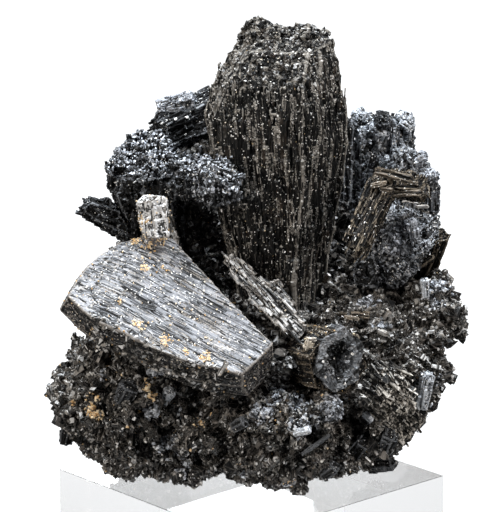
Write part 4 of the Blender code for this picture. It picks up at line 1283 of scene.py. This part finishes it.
# %% [markdown]
# ## Nests of grains, and a sheaf of plates
#
# The same tree makes more: nests of pale blue-grey grains, a painted reflection of the cool overhead light
# that looks like frost on the black, and at the right a sheaf of thin plates that all point down to the
# right.

# %% Nests and the sheaf
ICE_SPOTS = [(378, 134, 1.7), (364, 130, 0.9), (425, 382, 1.5), (427, 400, 1.3), (168, 396, 1.0),
             (369, 416, 1.0), (303, 431, 1.3), (425, 287, 1.6), (433, 300, 1.2), (287, 482, 0.9),
             (240, 474, 0.9), (47, 386, 1.0), (441, 285, 1.0), (381, 158, 0.7), (176, 412, 0.9),
             (230, 268, 0.9), (418, 268, 0.7)]
BLUE_SPOTS = [(361, 116, 1.4), (171, 450, 2.0), (333, 408, 1.9), (152, 413, 1.2), (261, 413, 1.5),
              (403, 213, 1.8), (395, 240, 2.3), (427, 424, 1.0), (160, 371, 1.5), (318, 422, 1.2),
              (430, 178, 1.4), (366, 303, 1.1), (276, 396, 1.2), (301, 405, 1.5), (441, 380, 1.1),
              (185, 470, 1.0), (381, 326, 1.1), (168, 106, 2.4), (175, 96, 1.6), (408, 225, 1.2),
              (290, 292, 1.2), (450, 295, 1.0), (100, 372, 1.0), (348, 402, 0.8)]
SHEAF_SPOTS = [(366, 368, 1.5), (378, 378, 2.0), (390, 392, 2.0), (402, 408, 2.0), (410, 424, 1.6),
               (372, 394, 1.6), (386, 412, 1.6), (396, 376, 1.5), (408, 390, 1.4), (398, 428, 1.5),
               (415, 440, 1.4)]
everything = ground_of(*chipped_mass, "right_back_crystals_skin", "right_block_crystal_skin",
                       "back_left_crystal_skin", "crystals_behind", "blue_grey_crystals")
for name, spots, look, seed, density in (("ice_nests", ICE_SPOTS, ICE_BLUE, 33, 14.0),
                                         ("blue_nests", BLUE_SPOTS, BLUE_GREY, 34, 12.0)):
    cluster(name, spots, everything, look, SHEEN, CHIPS, seed=seed, density=density, smallest=0.2,
            largest=(0.8, 0.8, 0.7))
cluster("sheaf_of_plates", SHEAF_SPOTS, ground_of("granular_mass_skin", "coarse_chips"), TAN_GREY, GRAINS,
        PLANKS, seed=35, density=12.0, smallest=(0.12, 0.3, 0.6), largest=(0.35, 1.2, 3.0), lift=0.35,
        way=(0.8, -0.15, -0.6), loose=0.32)

# %% [markdown]
# ## The clear block
#
# The block is polished acrylic. Its solid has edges that are rounded by almost half a millimetre, which
# clear plastic shows as a thick dark line, so a crisper piece with the same corners stands for it. The
# finish is full transmission with acrylic's index of refraction, and faint smudges in the roughness.

# %% Clear acrylic
CRISP_EDGE = 0.1 * MM


def acrylic_finish():
    """Clear acrylic, which lamps shine through, so that what lies behind it isn't in shadow."""
    made, tree, shader = new_material("clear_acrylic_finish", base_color=(0.98, 0.985, 0.99, 1), ior=1.49,
                                      transmission_weight=1.0)
    smudge = clouds(Node(tree, "ShaderNodeTexCoord")["Object"], 90.0, 4.0)[0]
    feed(shader["Roughness"], ramp(smudge, 0.45, 0.75, 0.01, 0.06))
    clear = Node(tree, "ShaderNodeBsdfTransparent", {"Color": (0.95, 0.96, 0.97, 1)})[0]
    plastic = Out(tree.nodes["Principled BSDF"].outputs[0])
    lamp = Node(tree, "ShaderNodeLightPath")["Is Shadow Ray"]
    feed(tree.nodes["Material Output"].inputs["Surface"],
         Node(tree, "ShaderNodeMixShader", {0: lamp, 1: plastic, 2: clear})[0])
    return made


def acrylic_block():
    """A square block turned as its solid is, which has one corner at each side of its box."""
    low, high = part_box("display_block")
    leftmost = min(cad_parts["display_block"].data.vertices, key=lambda v: v.co.x)
    reach, aside = high.x, abs(leftmost.co.y)
    bm = bmesh.new()
    corners = ((-reach, aside), (-aside, -reach), (reach, -aside), (aside, reach))
    bottom, top = ([bm.verts.new((x, y, z)) for x, y in corners] for z in (low.z, high.z))
    bm.faces.new(reversed(bottom))
    bm.faces.new(top)
    for k in range(4):
        bm.faces.new((bottom[k], bottom[k - 3], top[k - 3], top[k]))
    bmesh.ops.bevel(bm, geom=bm.edges, offset=CRISP_EDGE, segments=2, profile=0.5, affect="EDGES")
    bmesh.ops.recalc_face_normals(bm, faces=bm.faces)
    piece = in_scene("acrylic_block", mesh_of("acrylic_block", bm))
    piece.data.materials.append(acrylic_finish())
    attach(piece, "root")
    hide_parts("display_block")
    return piece


print("acrylic block:", [round(side / MM, 1) for side in acrylic_block().dimensions], "mm")

# %% [markdown]
# ## Studio
#
# Black stone shows only what it reflects, so the lights are large and soft: one cool sheet overhead that
# draws the upper faces in blue-grey, two warm ones in front that pick out the edges of the ribs, and one
# behind. The floor and the surroundings are pale and plain.

# %% Floor, lights and surroundings
FLOOR_SIZE, UNDER_BLOCK = 4.0, 0.3 * MM
LIT_PLACE = (0, 0, 0.05)
THROUGH_CLEAR = 0.5  # a path has passed the block once it has been transmitted more often than this


def floor(color, reflected, glow, through):
    """A pale floor that stays even and white to look at, and is as dim as card in the stone's reflections."""
    bm = bmesh.new()
    bmesh.ops.create_grid(bm, x_segments=1, y_segments=1, size=FLOOR_SIZE)
    bmesh.ops.translate(bm, vec=(0, 0, -UNDER_BLOCK), verts=bm.verts)
    made = in_scene("floor", mesh_of("floor", bm))
    look, tree, shader = new_material("pale_floor", roughness=0.8, emission_color=(1, 1, 1, 1))
    path = Node(tree, "ShaderNodeLightPath")
    seen, passed = path["Is Camera Ray"], path["Transmission Depth"] > THROUGH_CLEAR
    feed(shader["Base Color"], mixed(seen, (*reflected, 1), (*color, 1)))
    feed(shader["Emission Strength"], calc("MAXIMUM", seen * glow, passed * through))
    made.data.materials.append(look)
    made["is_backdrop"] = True


def softbox(name, place, width, height, radiance, color):
    """A large soft light on the specimen. radiance is how bright its face is, whatever its size."""
    light = bpy.data.lights.new(name, "AREA")
    light.shape = "RECTANGLE"
    light.size, light.size_y = width, height
    light.energy = radiance * math.pi * width * height
    light.color = color
    made = in_scene(name, light)
    look_at(made, place, LIT_PLACE)
    made.visible_camera = False


def surroundings(seen, through, cast):
    """A white room, a little dimmer through clear acrylic, which casts less light than it shows."""
    world = bpy.data.worlds.new("room")
    bpy.context.scene.world = world
    world.use_nodes = True
    background = world.node_tree.nodes["Background"].inputs
    path = Node(world.node_tree, "ShaderNodeLightPath")
    strength = mixed(path["Transmission Depth"] > THROUGH_CLEAR, cast, through)
    background["Color"].default_value = (1, 1, 1, 1)
    feed(background["Strength"], mixed(path["Is Camera Ray"], strength, seen))


floor((0.2, 0.2, 0.2), (0.05, 0.05, 0.05), 0.75, 0.68)
softbox("overhead", (0.02, 0.05, 0.5), 0.5, 0.4, 13.0, (0.88, 0.94, 1.0))
softbox("left_front", (-0.42, -0.32, 0.25), 0.16, 0.4, 11.0, (1.0, 0.94, 0.87))
softbox("right_front", (0.45, -0.22, 0.28), 0.16, 0.4, 10.0, (1.0, 0.95, 0.9))
softbox("from_behind", (-0.12, 0.6, 0.3), 0.3, 0.2, 7.0, (0.94, 0.97, 1.0))
surroundings(seen=1.0, through=0.75, cast=0.05)
bpy.context.scene.view_settings.view_transform = "Standard"

# %% [markdown]
# ## Sizes
#
# Both boxes, that of the solids and that of the dressed specimen, are printed. The dressing must stay
# in the box of the solids.

# %% Write the sizes and finish
low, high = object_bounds()
for axis, a, b, c, d in zip("XYZ", cad_low, cad_high, low, high):
    print(f"{axis}: solids {a / MM:.2f} to {b / MM:.2f} mm, dressed {c / MM:.2f} to {d / MM:.2f} mm")
